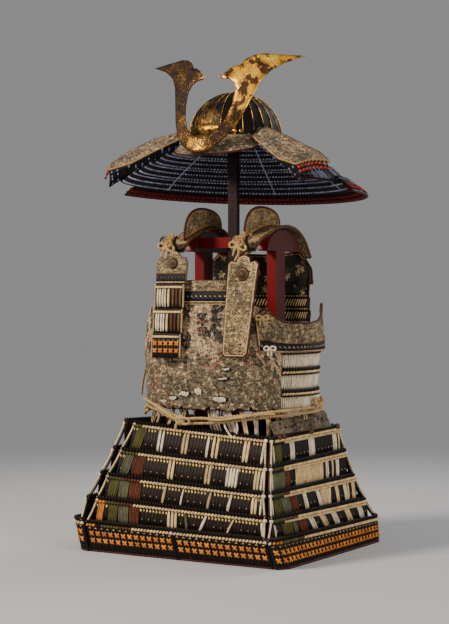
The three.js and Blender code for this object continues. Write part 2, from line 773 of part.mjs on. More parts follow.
for (const [side, label] of [[1, 'left'], [-1, 'right']]) {
  add(`helmet_bowl_${label}`, wall(
    (along, down) => bowlPoint(side, along, down, 0),
    {
      columns: 14,
      rows: BOWL_RISES.length,
      behind: (along, down) => bowlPoint(side, along, down, BOWL.wall),
    },
  ), BLACK_IRON);
}

// Peak over the brow, faced with leather
const PEAK = { angle: 54, reach: 38, drop: 41, rise: 6, thickness: 3, clear: 0.8 };
const PEAK_FADE = { reach: 0.75, drop: 1.05, curve: 1.2 };   // towards its two ends
add('helmet_peak', wall(
  (along, down) => {
    const angle = mix(-PEAK.angle, PEAK.angle, along);
    const turn = radians(angle);
    const fade = Math.cos(radians(angle * PEAK_FADE.reach));
    const drop = PEAK.drop * Math.cos(radians(angle * PEAK_FADE.drop));
    const out = PEAK.clear + PEAK.thickness + PEAK.reach * fade * down;
    return point(
      BOWL.x + (BOWL.halfWidth + out) * Math.sin(turn),
      BOWL.y - (BOWL.halfLength + out) * Math.cos(turn),
      BOWL.rim + PEAK.rise - (drop + PEAK.rise) * down ** PEAK_FADE.curve,
    );
  },
  { columns: 16, rows: 3, thickness: PEAK.thickness },
), PRINTED_LEATHER);

// Neck guard: five lames in a wide cone, open at the front
function neckPoint(angle, halfWidth, halfLength, z) {
  const share = (halfLength - BOWL.halfLength) / (NECK_LINES[5].halfLength - BOWL.halfLength);
  const turn = radians(angle);
  const tilt = NECK_FRONT_LIFT * (1 + Math.cos(turn)) - NECK_ROLL * Math.sin(turn);
  return point(
    BOWL.x + halfWidth * Math.sin(turn),
    BOWL.y - halfLength * Math.cos(turn),
    z + share * tilt,
  );
}

const NECK_TUCK = 7;             // a lame's foot below the next cord line
const NECK_RISE = 6;             // a lame's head inside and above its cord line
const NECK_THICKNESS = 3;
for (let row = 0; row < 5; row += 1) {
  const upper = NECK_LINES[row];
  const lower = NECK_LINES[row + 1];
  const last = row === 4;
  const end = last ? NECK_END : NECK_FOLD;
  const rise = row === 0 ? 0 : NECK_RISE;
  add(`neck_guard_lame_${row + 1}`, wall(
    (along, down) => neckPoint(
      mix(end, 360 - end, along),
      mix(upper.halfWidth - rise, lower.halfWidth, down),
      mix(upper.halfLength - rise, lower.halfLength, down),
      mix(upper.z + rise, lower.z - (last ? 0 : NECK_TUCK), down),
    ),
    { columns: 32, rows: 1, thickness: NECK_THICKNESS },
  ), LACED_BLACK);
}

// Front ends of the four upper lames, turned back over the cone and faced with leather
const TURNBACK = [               // fold line and free edge, from the bowl outward
  { fold: 46, foldRadius: 129, foldZ: 918, free: 62, freeRadius: 136, freeZ: 934 },
  { fold: 50, foldRadius: 186, foldZ: 884, free: 66, freeRadius: 190, freeZ: 910 },
  { fold: 53, foldRadius: 240, foldZ: 850, free: 73, freeRadius: 268, freeZ: 866 },
  { fold: 57, foldRadius: 287, foldZ: 832, free: 74, freeRadius: 292, freeZ: 844 },
];
const TURNBACK_RIGHT_LIFT = 14;  // the right flap's free edge stands a little higher
const TURNBACK_CROWN = 6;        // how far a flap arches between its two edges
const TURNBACK_THICKNESS = 3.2;

function turnbackPoint(side, outward, across) {
  const place = outward * (TURNBACK.length - 1);
  const index = Math.min(Math.floor(place), TURNBACK.length - 2);
  const near = TURNBACK[index];
  const far = TURNBACK[index + 1];
  const between = (name) => mix(near[name], far[name], place - index);
  const foldRadius = between('foldRadius');
  const freeRadius = between('freeRadius');
  const fold = neckPoint(side * between('fold'), foldRadius, foldRadius, between('foldZ'));
  const free = neckPoint(side * between('free'), freeRadius, freeRadius, between('freeZ'));
  const spot = fold.lerp(free, across);
  const lift = side < 0 ? TURNBACK_RIGHT_LIFT * outward * across : 0;
  spot.z += lift + TURNBACK_CROWN * Math.sin(Math.PI * across);
  return spot;
}

for (const [side, label] of [[1, 'left'], [-1, 'right']]) {
  add(`helmet_${label}_turnback`, wall(
    (along, down) => turnbackPoint(side, down, along),
    { columns: 4, rows: 6, thickness: TURNBACK_THICKNESS, flip: side < 0 },
  ), PRINTED_LEATHER);
}

// Crest: a thin gilt plate with two antlers that sweep and lean back
function crestPoint(out, up, depth) {
  const sweep = radians(CREST.sweep);
  const lean = radians(CREST.lean);
  const rounded = Math.hypot(out, CREST.middle) - CREST.middle;
  return point(
    out * Math.cos(sweep),
    CREST.y + rounded * Math.sin(sweep) + up * Math.sin(lean) + depth * Math.cos(lean),
    CREST.z + up * Math.cos(lean) - depth * Math.sin(lean),
  );
}

// The prong behind the crest's foot reaches back to the front of the bowl
const PRONG = { width: 20, height: 3, fromY: -150, fromZ: 905, toY: -104, toZ: 930 };
const prongLength = Math.hypot(PRONG.toY - PRONG.fromY, PRONG.toZ - PRONG.fromZ);
const prong = new THREE.BoxGeometry(PRONG.width, prongLength, PRONG.height);
prong.rotateX(Math.atan2(PRONG.toZ - PRONG.fromZ, PRONG.toY - PRONG.fromY));
prong.translate(0, (PRONG.fromY + PRONG.toY) / 2, (PRONG.fromZ + PRONG.toZ) / 2);

const crestPlate = plate(
  [{ out: 0, up: 0 }, ...CREST_OUTLINE, { out: 0, up: CREST.notch }],
  CREST.thickness,
  crestPoint,
  true,
);
add('helmet_crest', joined(crestPlate, prong), GILT_COPPER);

// ---------------------------------------------------------------- stand

add('stand_base', new THREE.BoxGeometry(BASE.width, BASE.depth, BASE.height),
  LACQUER_RED, 0, 0, BASE.height / 2);

// Each side is an upright tenoned into its rounded shoulder board
for (const [side, label] of [[1, 'left'], [-1, 'right']]) {
  const foot = BASE.height + SEAM_GAP;
  const top = BOARD.foot + BOARD.tenon;
  const upright = new THREE.BoxGeometry(UPRIGHT.width, UPRIGHT.depth, top - foot);
  upright.translate(0, UPRIGHT.y, (foot + top) / 2);

  const profile = new THREE.Shape();
  profile.moveTo(-BOARD.length / 2, 0);
  profile.lineTo(BOARD.length / 2, 0);
  profile.absellipse(0, 0, BOARD.length / 2, BOARD.top - BOARD.foot, 0, Math.PI, false);
  const board = new THREE.ExtrudeGeometry(profile, {
    depth: BOARD.thickness, bevelEnabled: false, curveSegments: 20,
  });
  board.translate(0, 0, -BOARD.thickness / 2);
  board.rotateX(Math.PI / 2);
  board.rotateZ(Math.PI / 2);
  board.translate(0, BOARD.y, BOARD.foot);
  add(`stand_${label}_side`, joined(upright, board), LACQUER_RED, side * BOARD.x, 0, 0);
}

const armLength = 2 * (BOARD.x - BOARD.thickness / 2 - SEAM_GAP);
add('stand_cross_arm', new THREE.BoxGeometry(armLength, ARM.depth, ARM.top - ARM.foot),
  LACQUER_RED, 0, POLE.y - POLE.depth / 2 - SEAM_GAP - ARM.depth / 2, (ARM.foot + ARM.top) / 2);

const poleFoot = BASE.height + SEAM_GAP;
const poleTop = BOWL.crown - BOWL.wall - POLE.clear;
add('stand_pole', new THREE.BoxGeometry(POLE.width, POLE.depth, poleTop - poleFoot),
  LACQUER_RED, 0, POLE.y, (poleFoot + poleTop) / 2);

export default suit;
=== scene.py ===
import math
import random

import bmesh
import bpy
import numpy as np
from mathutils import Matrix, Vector
from mathutils.geometry import delaunay_2d_cdt


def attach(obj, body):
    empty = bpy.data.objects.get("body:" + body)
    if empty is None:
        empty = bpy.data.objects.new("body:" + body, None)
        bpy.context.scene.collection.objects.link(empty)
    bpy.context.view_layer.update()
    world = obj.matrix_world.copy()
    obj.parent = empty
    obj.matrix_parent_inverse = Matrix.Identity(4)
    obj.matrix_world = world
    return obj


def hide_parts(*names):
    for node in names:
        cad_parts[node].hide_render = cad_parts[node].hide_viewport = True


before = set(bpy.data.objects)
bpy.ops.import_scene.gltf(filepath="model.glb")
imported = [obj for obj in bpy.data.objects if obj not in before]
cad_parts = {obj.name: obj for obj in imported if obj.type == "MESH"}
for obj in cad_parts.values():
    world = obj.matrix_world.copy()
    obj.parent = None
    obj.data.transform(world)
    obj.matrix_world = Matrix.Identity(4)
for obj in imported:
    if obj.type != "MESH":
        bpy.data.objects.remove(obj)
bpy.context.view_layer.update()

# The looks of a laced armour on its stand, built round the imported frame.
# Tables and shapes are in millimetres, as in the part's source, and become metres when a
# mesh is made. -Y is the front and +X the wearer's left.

MM = 0.001
random.seed(7)

# ------------------------------------------------------------------ camera and light

CAMERA_PLACE = (1.885, -3.176, 0.580)
CAMERA_TURN = (90 - 0.77, 0, 31)      # degrees
LENS = 94.27
BACKDROP = (0.268, 0.268, 0.272)


def make_camera():
    data = bpy.data.cameras.new("camera")
    data.lens = LENS
    data.sensor_width = 36
    camera = bpy.data.objects.new("camera", data)
    camera.location = CAMERA_PLACE
    camera.rotation_euler = [math.radians(turn) for turn in CAMERA_TURN]
    bpy.context.collection.objects.link(camera)
    bpy.context.scene.camera = camera


def area_light(name, place, aim, size, power, tint):
    data = bpy.data.lights.new(name, "AREA")
    data.shape = "DISK"
    data.size = size
    data.energy = power
    data.color = tint
    lamp = bpy.data.objects.new(name, data)
    lamp.location = place
    way = np.array(aim, float) - np.array(place, float)
    flat = math.hypot(way[0], way[1])
    lamp.rotation_euler = (math.atan2(flat, -way[2]), 0, math.atan2(-way[0], way[1]))
    bpy.context.collection.objects.link(lamp)


LIGHTS = (                            # name, place, aim, size, watts, tint
    ("key", (-2.0, -3.1, 2.7), (0, 0, 0.5), 1.1, 215, (1.0, 0.93, 0.83)),
    ("fill", (3.6, -1.4, 1.5), (0, 0, 0.45), 1.8, 68, (1.0, 0.95, 0.88)),
    ("rim", (1.2, 2.8, 2.6), (0, 0, 0.6), 1.6, 50, (1.0, 1.0, 1.0)),
)
FLOOR_SIZE = 30


def make_studio():
    for light in LIGHTS:
        area_light(*light)
    world = bpy.data.worlds.new("studio")
    world.use_nodes = True
    background = world.node_tree.nodes["Background"].inputs
    background["Color"].default_value = rgb(*BACKDROP)
    background["Strength"].default_value = 1.0
    bpy.context.scene.world = world
    bpy.ops.mesh.primitive_plane_add(size=FLOOR_SIZE, location=(0, 0, 0))
    floor = bpy.context.object
    floor.name = "floor"
    floor.data.materials.append(floor_material())


# ------------------------------------------------------------------ materials


class Nodes:
    """A short way to write a material's node tree."""

    def __init__(self, name):
        self.material = bpy.data.materials.new(name)
        self.material.use_nodes = True
        self.tree = self.material.node_tree
        self.shader = self.tree.nodes["Principled BSDF"]

    def add(self, kind, settings=None, **inputs):
        """A new node. An input is named, with _ for a space, or numbered, as in _0."""
        node = self.tree.nodes.new("ShaderNode" + kind)
        for key, value in (settings or {}).items():
            setattr(node, key, value)
        self.fill(node, inputs)
        return node

    def fill(self, node, inputs):
        for key, value in inputs.items():
            place = int(key[1:]) if key.startswith("_") else key.replace("_", " ")
            if isinstance(value, bpy.types.NodeSocket):
                self.tree.links.new(value, node.inputs[place])
            else:
                node.inputs[place].default_value = value

    def math(self, operation, a, b=0.0, c=0.0, clamp=False):
        settings = {"operation": operation, "use_clamp": clamp}
        return self.add("Math", settings, _0=a, _1=b, _2=c).outputs[0]

    def times(self, a, b):
        return self.math("MULTIPLY", a, b)

    def less(self, a, b):
        return self.math("SUBTRACT", a, b)

    def plus(self, a, b):
        return self.math("ADD", a, b)

    def most(self, a, b):
        return self.math("MAXIMUM", a, b)

    def scaled(self, value, by, plus, clamp=False):
        return self.math("MULTIPLY_ADD", value, by, plus, clamp)

    def vector(self, operation, a, b):
        return self.add("VectorMath", {"operation": operation}, _0=a, _1=b).outputs[0]

    def length(self, vector):
        node = self.add("VectorMath", {"operation": "LENGTH"}, _0=vector)
        return node.outputs["Value"]

    def parts(self, vector):
        return self.add("SeparateXYZ", Vector=vector).outputs

    def attribute(self, name):
        return self.add("Attribute", {"attribute_name": name}).outputs

    def mix(self, share, a, b, blend="MIX"):
        settings = {"data_type": "RGBA", "blend_type": blend}
        return self.add("Mix", settings, _0=share, _6=a, _7=b).outputs[2]

    def shaded(self, colour, tone):
        """A colour times a grey tone."""
        grey = self.add("CombineColor", _0=tone, _1=tone, _2=tone).outputs[0]
        return self.mix(1.0, colour, grey, "MULTIPLY")

    def step(self, value, low, high):
        """0 below low, 1 above high, smooth between."""
        settings = {"interpolation_type": "SMOOTHSTEP"}
        node = self.add("MapRange", settings, _0=value, _1=low, _2=high, _3=0.0, _4=1.0)
        return node.outputs[0]

    def noise(self, where, scale, detail=3.0, roughness=0.55):
        return self.add("TexNoise", Vector=where, Scale=scale, Detail=detail,
                        Roughness=roughness).outputs[0]

    def place(self, stretch=(1, 1, 1)):
        """The object's own coordinates, which are the frame's, in metres."""
        where = self.add("TexCoord").outputs["Object"]
        return self.vector("MULTIPLY", where, stretch)

    def bump(self, height, strength, distance):
        return self.add("Bump", Height=height, Strength=strength, Distance=distance).outputs[0]

    def finish(self, **inputs):
        self.fill(self.shader, inputs)
        return self.material


def rgb(red, green, blue):
    return (red, green, blue, 1.0)


def floor_material():
    """Matt grey near the armour, the backdrop's own light further out."""
    nodes = Nodes("floor")
    far = nodes.step(nodes.length(nodes.place()), 0.9, 2.6)
    return nodes.finish(
        Base_Color=nodes.mix(far, rgb(0.52, 0.52, 0.53), rgb(0, 0, 0)),
        Roughness=0.8,
        Specular_IOR_Level=0.0,
        Emission_Color=rgb(*BACKDROP),
        Emission_Strength=far,
    )


def laced_material():
    """Lacquered scales and silk lacing. Colours come from the mesh; their alpha is gloss."""
    nodes = Nodes("laced_scales")
    paint = nodes.attribute("Paint")
    where = nodes.place()
    fibre = nodes.noise(where, 900.0, 2.0)
    dirt = nodes.noise(where, 60.0, 5.0, 0.7)
    grime = nodes.scaled(nodes.step(dirt, 0.35, 0.62), 0.36, 0.66)
    worn = nodes.times(nodes.scaled(fibre, 0.9, 0.5), grime)
    rough = nodes.scaled(paint["Alpha"], -0.5, 0.86)
    return nodes.finish(
        Base_Color=nodes.shaded(paint["Color"], worn),
        Roughness=nodes.scaled(dirt, 0.16, rough),
        Normal=nodes.bump(nodes.plus(fibre, dirt), 0.45, 0.0006),
        Specular_IOR_Level=0.25,
    )


LEATHERS = {
    # ground colour, faded colour, print ink, blossom colour, ink cover, red strokes, sprays
    "front": ((0.60, 0.40, 0.23), (0.11, 0.086, 0.044), (0.004, 0.007, 0.006),
              (0.70, 0.50, 0.28), 0.85, 1.0, 1.0),
    "guard": ((0.43, 0.29, 0.13), (0.12, 0.082, 0.037), (0.003, 0.004, 0.005),
              (0.64, 0.48, 0.25), 1.0, 0.2, 0.0),
    "strap": ((0.36, 0.24, 0.11), (0.11, 0.075, 0.036), (0.014, 0.014, 0.012),
              (0.48, 0.34, 0.17), 0.60, 0.1, 0.0),
    "plate": ((0.36, 0.25, 0.125), (0.09, 0.066, 0.036), (0.003, 0.006, 0.007),
              (0.55, 0.40, 0.21), 0.85, 0.2, 0.4),
    "helmet": ((0.32, 0.21, 0.105), (0.085, 0.068, 0.042), (0.004, 0.010, 0.018),
               (0.50, 0.38, 0.22), 0.98, 0.0, 0.3),
    "worn": ((0.15, 0.108, 0.062), (0.05, 0.037, 0.022), (0.012, 0.010, 0.008),
             (0.2, 0.16, 0.11), 0.15, 0.0, 0.0),
    "lining": ((0.012, 0.010, 0.009), (0.05, 0.032, 0.018), (0.008, 0.008, 0.008),
               (0.60, 0.42, 0.19), 0.75, 0.0, 0.0),
}
FULL_TURN = 6.283
SOFT_EDGE = 0.05          # of a printed shape, as a share of its cell
PETALS = 5
RED_INK = (0.40, 0.07, 0.025)


def leather_material(kind):
    """Old printed doeskin: scrolling lines, small leaves and five-petalled blossoms, worn.

    Print lies in the mesh's own flat coordinates, the "Flat" attribute, in metres."""
    ground, faded_or_sheen, print_ink, blossom_ink, cover, red, sprays = LEATHERS[kind]
    nodes = Nodes("leather_" + kind)
    flat = nodes.attribute("Flat")["Vector"]
    where = nodes.place()

    def motif(scale, seed, petals=0):
        """A share of 1 inside scattered small shapes, one in each cell of a Voronoi."""
        spot = nodes.vector("ADD", flat, (seed, seed * 0.37, 0.0))
        cell = nodes.add("TexVoronoi", {"voronoi_dimensions": "2D"}, Vector=spot,
                         Scale=scale, Randomness=0.85).outputs
        away = nodes.vector("SUBTRACT", spot, cell["Position"])
        away = nodes.vector("MULTIPLY", away, (scale, scale, 0.0))
        hue = nodes.add("SeparateColor", Color=cell["Color"]).outputs[0]
        turned = nodes.add("VectorRotate", {"rotation_type": "Z_AXIS"}, Vector=away,
                           Angle=nodes.times(hue, FULL_TURN)).outputs[0]
        x, y, _ = nodes.parts(turned)
        if petals:
            wave = nodes.math("COSINE", nodes.times(nodes.math("ARCTAN2", y, x), float(petals)))
            reach = nodes.scaled(wave, 0.09, 0.26)
            return nodes.step(nodes.less(reach, nodes.length(turned)), 0.0, SOFT_EDGE)
        along = nodes.math("ABSOLUTE", x)
        bend = nodes.times(nodes.times(along, along), 1.1)
        across = nodes.math("ABSOLUTE", nodes.less(y, nodes.times(bend, 0.35)))
        return nodes.step(nodes.less(nodes.less(0.17, bend), across), 0.0, SOFT_EDGE)

    def scrolls(scale, turns, width):
        """Thin curling lines: the contours of a slow noise."""
        cloud = nodes.noise(flat, scale, 1.0, 0.4)
        wave = nodes.math("ABSOLUTE", nodes.math("SINE", nodes.times(cloud, turns)))
        return nodes.less(1.0, nodes.step(wave, width * 0.5, width))

    patchy = nodes.noise(where, 26.0, 4.0, 0.6)
    fine = nodes.noise(where, 420.0, 4.0, 0.7)
    broad = nodes.noise(where, 9.0, 3.0, 0.5)
    age = nodes.step(nodes.scaled(patchy, 0.6, nodes.times(broad, 0.4)), 0.38, 0.66)
    if kind == "front":
        low = nodes.step(nodes.scaled(broad, 0.06, nodes.parts(flat)[1]), 0.10, 0.20)
        age = nodes.most(nodes.times(age, 0.75), nodes.times(low, 0.85))
    base = nodes.mix(age, rgb(*ground), rgb(*faded_or_sheen))
    kept = nodes.step(nodes.noise(where, 40.0, 3.0), 0.66 - cover * 0.5, 0.74 - cover * 0.4)
    blossoms = motif(34.0 if kind == "lining" else 62.0, 7.7, PETALS)
    base = nodes.mix(nodes.times(blossoms, nodes.times(kept, 0.7)), base, rgb(*blossom_ink))
    leaves = nodes.most(motif(120.0, 0.0), motif(190.0, 3.1))
    rubbed = nodes.times(kept, nodes.step(fine, 0.34, 0.48))
    ink = nodes.times(nodes.most(leaves, scrolls(95.0, 34.0, 0.42)), rubbed)
    base = nodes.mix(nodes.times(ink, 0.95), base, rgb(*print_ink))
    if sprays:
        veins = nodes.less(1.0, nodes.times(scrolls(60.0, 26.0, 0.3), 0.8))
        shapes = nodes.most(motif(16.0, 2.3), motif(21.0, 9.4, PETALS))
        shapes = nodes.most(shapes, motif(24.0, 4.61))
        spray = nodes.times(nodes.times(shapes, veins), nodes.step(patchy, 0.30, 0.42))
        if kind == "front":
            spray = nodes.times(spray, nodes.scaled(low, -0.5, 1.0))
        base = nodes.mix(nodes.times(spray, sprays), base, rgb(*print_ink))
    if red:
        strokes = nodes.times(motif(80.0, 5.3),
                              nodes.step(nodes.noise(where, 15.0, 2.0), 0.50, 0.58))
        base = nodes.mix(nodes.times(strokes, 0.7 * red), base, rgb(*RED_INK))
    streaked = nodes.vector("MULTIPLY", flat, (0.4, 1.0, 1.0))
    blotch = nodes.scaled(nodes.noise(streaked, 185.0, 3.0, 0.7), 4.6, -1.22)
    grain = nodes.times(nodes.scaled(fine, 1.3, 0.32), nodes.most(blotch, 0.08))
    height = nodes.plus(nodes.times(fine, 0.6), patchy)
    return nodes.finish(
        Base_Color=nodes.shaded(base, grain),
        Roughness=nodes.scaled(fine, 0.25, 0.6),
        Normal=nodes.bump(height, 0.6, 0.0014),
        Specular_IOR_Level=0.3,
    )


def lacquer_material(name, deep, bright, faded_or_sheen):
    """Glossy lacquer, with faint brush ripples, dust on what faces up and a painted sheen on faces
    turned to +X.
    """
    nodes = Nodes(name)
    where = nodes.place((1, 1, 0.25))
    cloud = nodes.noise(where, 14.0, 4.0)
    fine = nodes.noise(where, 300.0, 3.0)
    base = nodes.mix(cloud, rgb(*deep), rgb(*bright))
    left, _, up = nodes.parts(nodes.add("NewGeometry").outputs["Normal"])
    # painted sheen: faces turned to +X take the duller sheen colour, wherever the light falls
    base = nodes.mix(nodes.step(left, 0.4, 0.9), base, rgb(*faded_or_sheen))
    dust = nodes.times(nodes.step(up, 0.3, 1.0), nodes.step(cloud, 0.3, 0.7))
    base = nodes.mix(nodes.times(dust, 0.3), base, rgb(0.23, 0.15, 0.12))
    return nodes.finish(
        Base_Color=base,
        Roughness=nodes.scaled(fine, 0.14, 0.3),
        Normal=nodes.bump(fine, 0.1, 0.0004),
        Coat_Weight=0.04,
        Coat_Roughness=0.2,
        Specular_IOR_Level=0.22,
    )


def metal_material(name, bright, dark, low, high, scale, roughness):
    """Metal whose plating is worn through in patches. The mesh's Wear shifts the patches."""
    nodes = Nodes(name)
    wear = nodes.attribute("Wear")["Fac"]
    where = nodes.place()
    patch = nodes.noise(where, scale, 5.0, 0.62)
    fine = nodes.noise(where, 500.0, 3.0)
    speckle = nodes.scaled(nodes.noise(where, 400.0, 3.0, 0.6), 1.6, -0.8)
    mottled = nodes.times(speckle, nodes.step(wear, 0.05, 0.12))
    share = nodes.step(nodes.plus(nodes.plus(patch, wear), mottled), low, high)
    small = nodes.scaled(nodes.noise(where, 130.0, 4.0), 1.4, 0.3)
    large = nodes.scaled(nodes.noise(where, 30.0, 2.0), 3.6, -0.7)
    dulled = nodes.scaled(wear, -2.6, 1.0, True)
    tone = nodes.times(dulled, nodes.times(small, large))
    return nodes.finish(
        Base_Color=nodes.shaded(nodes.mix(share, rgb(*bright), rgb(*dark)), tone),
        Metallic=nodes.scaled(share, -0.6, 0.95),
        Roughness=nodes.scaled(share, 0.16, roughness),
        Normal=nodes.bump(nodes.plus(fine, patch), 0.5, 0.0012),
        Specular_IOR_Level=0.25,
    )


MATERIALS = {
    "laced": laced_material(),
    # A lacquer's last colour is the painted sheen on faces turned to +X.
    "lacquer": lacquer_material("red_lacquer", (0.08, 0.001, 0.0015), (0.22, 0.003, 0.003),
                                (0.075, 0.019, 0.017)),
    # The pole's near-black lacquer is its own dark colour with painted shade from the helmet above
    # worked in.
    "dark_and_shaded_lacquer": lacquer_material("dark_and_shaded_lacquer", (0.012, 0.004, 0.004), (0.03, 0.006, 0.006),
                                     (0.02, 0.007, 0.007)),
}
MATERIALS.update({kind: leather_material(kind) for kind in LEATHERS})
MATERIALS["gilt"] = metal_material("gilt_copper", (0.84, 0.42, 0.045), (0.065, 0.023, 0.008),
                                   0.54, 0.59, 42.0, 0.36)
MATERIALS["iron"] = metal_material("black_iron", (0.15, 0.078, 0.026), (0.005, 0.004, 0.005),
                                   0.34, 0.60, 70.0, 0.46)

# Colours of cloth, cord and lacquer: red, green, blue and gloss
PAINTS = {
    "black": (0.006, 0.005, 0.005, 1.0),
    "soot": (0.011, 0.008, 0.007, 0.6),
    "brown": (0.085, 0.036, 0.016, 0.3),
    "cream": (0.86, 0.60, 0.29, 0.0),
    "white": (0.90, 0.76, 0.54, 0.0),
    "tan": (0.56, 0.39, 0.18, 0.0),
    "rope": (0.56, 0.37, 0.16, 0.15),
    "yellow": (1.0, 0.72, 0.26, 0.1),
    "olive": (0.115, 0.105, 0.028, 0.0),
    "sage": (0.145, 0.145, 0.082, 0.0),
    "russet": (0.15, 0.042, 0.020, 0.0),
    "orange": (0.78, 0.27, 0.04, 0.15),
    "pale_blue": (0.62, 0.65, 0.90, 0.3),
    "pitch": (0.003, 0.003, 0.0035, 0.25),
    "navy": (0.008, 0.009, 0.014, 0.5),
    "slate": (0.22, 0.24, 0.37, 0.3),
    "red": (0.72, 0.06, 0.018, 0.1),
    "crimson": (0.24, 0.010, 0.008, 0.25),
    "oxblood": (0.075, 0.014, 0.009, 0.5),
    "piping": (0.44, 0.24, 0.085, 0.15),
    "bronze": (0.13, 0.068, 0.027, 0.75),
}

# ------------------------------------------------------------------ mesh helpers


def grid(rows, columns, closed=False):
    """Four-sided faces of a grid of points, row by row; closed joins its last column on."""
    row, column = np.mgrid[:rows - 1, :columns if closed else columns - 1]
    row, column = row.ravel() * columns, column.ravel()
    after = (column + 1) % columns
    below = row + columns
    return np.stack([row + column, row + after, below + after, below + column], 1)


class Pile:
    """Gathers closed shapes, in millimetres, into one mesh with a colour at each point."""

    def __init__(self):
        self.points, self.faces, self.paints, self.flats = [], [], [], []
        self.count = 0

    def put(self, points, faces, paint="black", flat=None):
        """Adds a shape. faces is an array or a tuple of them, paint a name or colours, and
        flat what each point has as flat coordinates."""
        points = np.asarray(points, float).reshape(-1, 3)
        paint = PAINTS[paint] if isinstance(paint, str) else paint
        self.points.append(points)
        for part in faces if isinstance(faces, tuple) else (faces,):
            self.faces.append(np.asarray(part, int) + self.count)
        self.paints.append(np.broadcast_to(np.asarray(paint, float), (len(points), 4)))
        self.flats.append(points[:, :2] * 0 if flat is None else flat)
        self.count += len(points)

    def make(self, name, nodes=(), material="laced", slot="laced_scales", wear=None):
        """Makes the piece, which replaces the CAD nodes. wear is a number or a function."""
        points = np.concatenate(self.points) * MM
        corners = np.concatenate([part.ravel() for part in self.faces])
        sizes = np.concatenate([np.full(len(part), part.shape[1]) for part in self.faces])
        mesh = bpy.data.meshes.new(name)
        mesh.vertices.add(len(points))
        mesh.vertices.foreach_set("co", points.ravel())
        mesh.loops.add(len(corners))
        mesh.loops.foreach_set("vertex_index", corners)
        mesh.polygons.add(len(sizes))
        mesh.polygons.foreach_set("loop_start", np.cumsum(sizes) - sizes)
        mesh.update(calc_edges=True)
        paint = mesh.attributes.new("Paint", "FLOAT_COLOR", "POINT")
        paint.data.foreach_set("color", np.concatenate(self.paints).ravel())
        flats = np.concatenate(self.flats) * MM
        flat = mesh.attributes.new("Flat", "FLOAT_VECTOR", "POINT")
        flat.data.foreach_set("vector", np.column_stack([flats, flats[:, 0] * 0]).ravel())
        if wear is not None:
            worn = mesh.attributes.new("Wear", "FLOAT", "POINT")
            share = wear(points / MM) if callable(wear) else np.full(len(points), wear)
            worn.data.foreach_set("value", share.astype(float))
        mesh.validate()
        turned = bmesh.new()
        turned.from_mesh(mesh)
        bmesh.ops.recalc_face_normals(turned, faces=turned.faces)
        turned.to_mesh(mesh)
        turned.free()
        mesh.polygons.foreach_set("use_smooth", [True] * len(mesh.polygons))
        mesh.materials.append(MATERIALS[material])
        piece = bpy.data.objects.new(name, mesh)
        bpy.context.collection.objects.link(piece)
        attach(piece, "root")
        if nodes:
            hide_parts(*nodes)
        return piece


def mix(a, b, share):
    return a + (b - a) * share


def xyz(x, y, z):
    return np.stack(np.broadcast_arrays(x, y, z), -1).astype(float)


def unit(vectors):
    length = np.linalg.norm(vectors, axis=-1, keepdims=True)
    return vectors / np.maximum(length, 1e-9)


def shell(outer, inner, closed=False):
    """Points and faces of a closed wall between two grids of points (rows, columns, 3)."""
    rows, columns = outer.shape[:2]
    count = rows * columns
    quads = grid(rows, columns, closed)
    faces = [quads, quads[:, ::-1] + count]
    across = columns if closed else columns - 1
    low = np.arange(across)
    high = (low + 1) % columns
    faces.append(np.stack([high, low, low + count, high + count], 1))
    last = (rows - 1) * columns
    faces.append(np.stack([low, high, high + count, low + count], 1) + last)
    if not closed:
        low = np.arange(rows - 1) * columns
        high = low + columns
        faces.append(np.stack([low, high, high + count, low + count], 1))
        edge = columns - 1
        faces.append(np.stack([high, low, low + count, high + count], 1) + edge)
    points = np.concatenate([outer.reshape(-1, 3), inner.reshape(-1, 3)])
    return points, np.concatenate(faces)


def frames(path):
    """Two directions square to a path at each of its points, with no twist between them."""
    way = unit(np.gradient(path, axis=0))
    side = np.cross(way[0], (0.0, 0.0, 1.0))
    if np.linalg.norm(side) < 0.2:
        side = np.cross(way[0], (0.0, 1.0, 0.0))
    sides = [unit(side)]
    for step in way[1:]:
        side = sides[-1] - step * np.dot(sides[-1], step)
        sides.append(unit(side))
    sides = np.array(sides)
    return sides, np.cross(way, sides)


def end_caps(base, sides, order):
    """Flat four-sided faces that close one end of a tube, whose points start at base."""
    rings = [[0, start + 1, start + 2, start + 3][::order] for start in range(0, sides - 2, 2)]
    return np.array(rings) + base


def sweep(path, section, turns=None, taper=None, ways=None):
    """A closed tube: section is (n, 2) across each point of path, turned and tapered.

    ways holds the two directions the section lies in, where they are given."""
    path = np.asarray(path, float)
    side, up = ways or frames(path)
    steps = len(path)
    turn = np.zeros(steps) if turns is None else turns
    size = np.ones(steps) if taper is None else taper
    sine, cosine = np.sin(turn)[:, None], np.cos(turn)[:, None]
    x = (section[:, 0] * cosine - section[:, 1] * sine) * size[:, None]
    y = (section[:, 0] * sine + section[:, 1] * cosine) * size[:, None]
    points = path[:, None] + x[..., None] * side[:, None] + y[..., None] * up[:, None]
    sides = len(section)
    last = (steps - 1) * sides
    return points.reshape(-1, 3), np.concatenate(
        [grid(steps, sides, True), end_caps(0, sides, 1), end_caps(last, sides, -1)])


def oval(width, height, sides=6):
    turn = 2 * np.pi * np.arange(sides) / sides
    return np.column_stack([np.cos(turn) * width / 2, np.sin(turn) * height / 2])


def smooth_path(points, step):
    """A Catmull-Rom line through points, with a point every step."""
    points = np.asarray(points, float)
    ends = np.vstack([2 * points[0] - points[1], points, 2 * points[-1] - points[-2]])
    line = []
    for index in range(len(points) - 1):
        a, b, c, d = ends[index:index + 4]
        count = max(int(np.linalg.norm(c - b) / step), 2)
        t = np.linspace(0, 1, count, endpoint=False)[:, None]
        line.append(0.5 * (2 * b + (c - a) * t + (2 * a - 5 * b + 4 * c - d) * t ** 2
                           + (3 * b - a - 3 * c + d) * t ** 3))
    return np.vstack([*line, points[-1:]])


def lengths(path):
    return np.concatenate([[0], np.cumsum(np.linalg.norm(np.diff(path, axis=0), axis=1))])


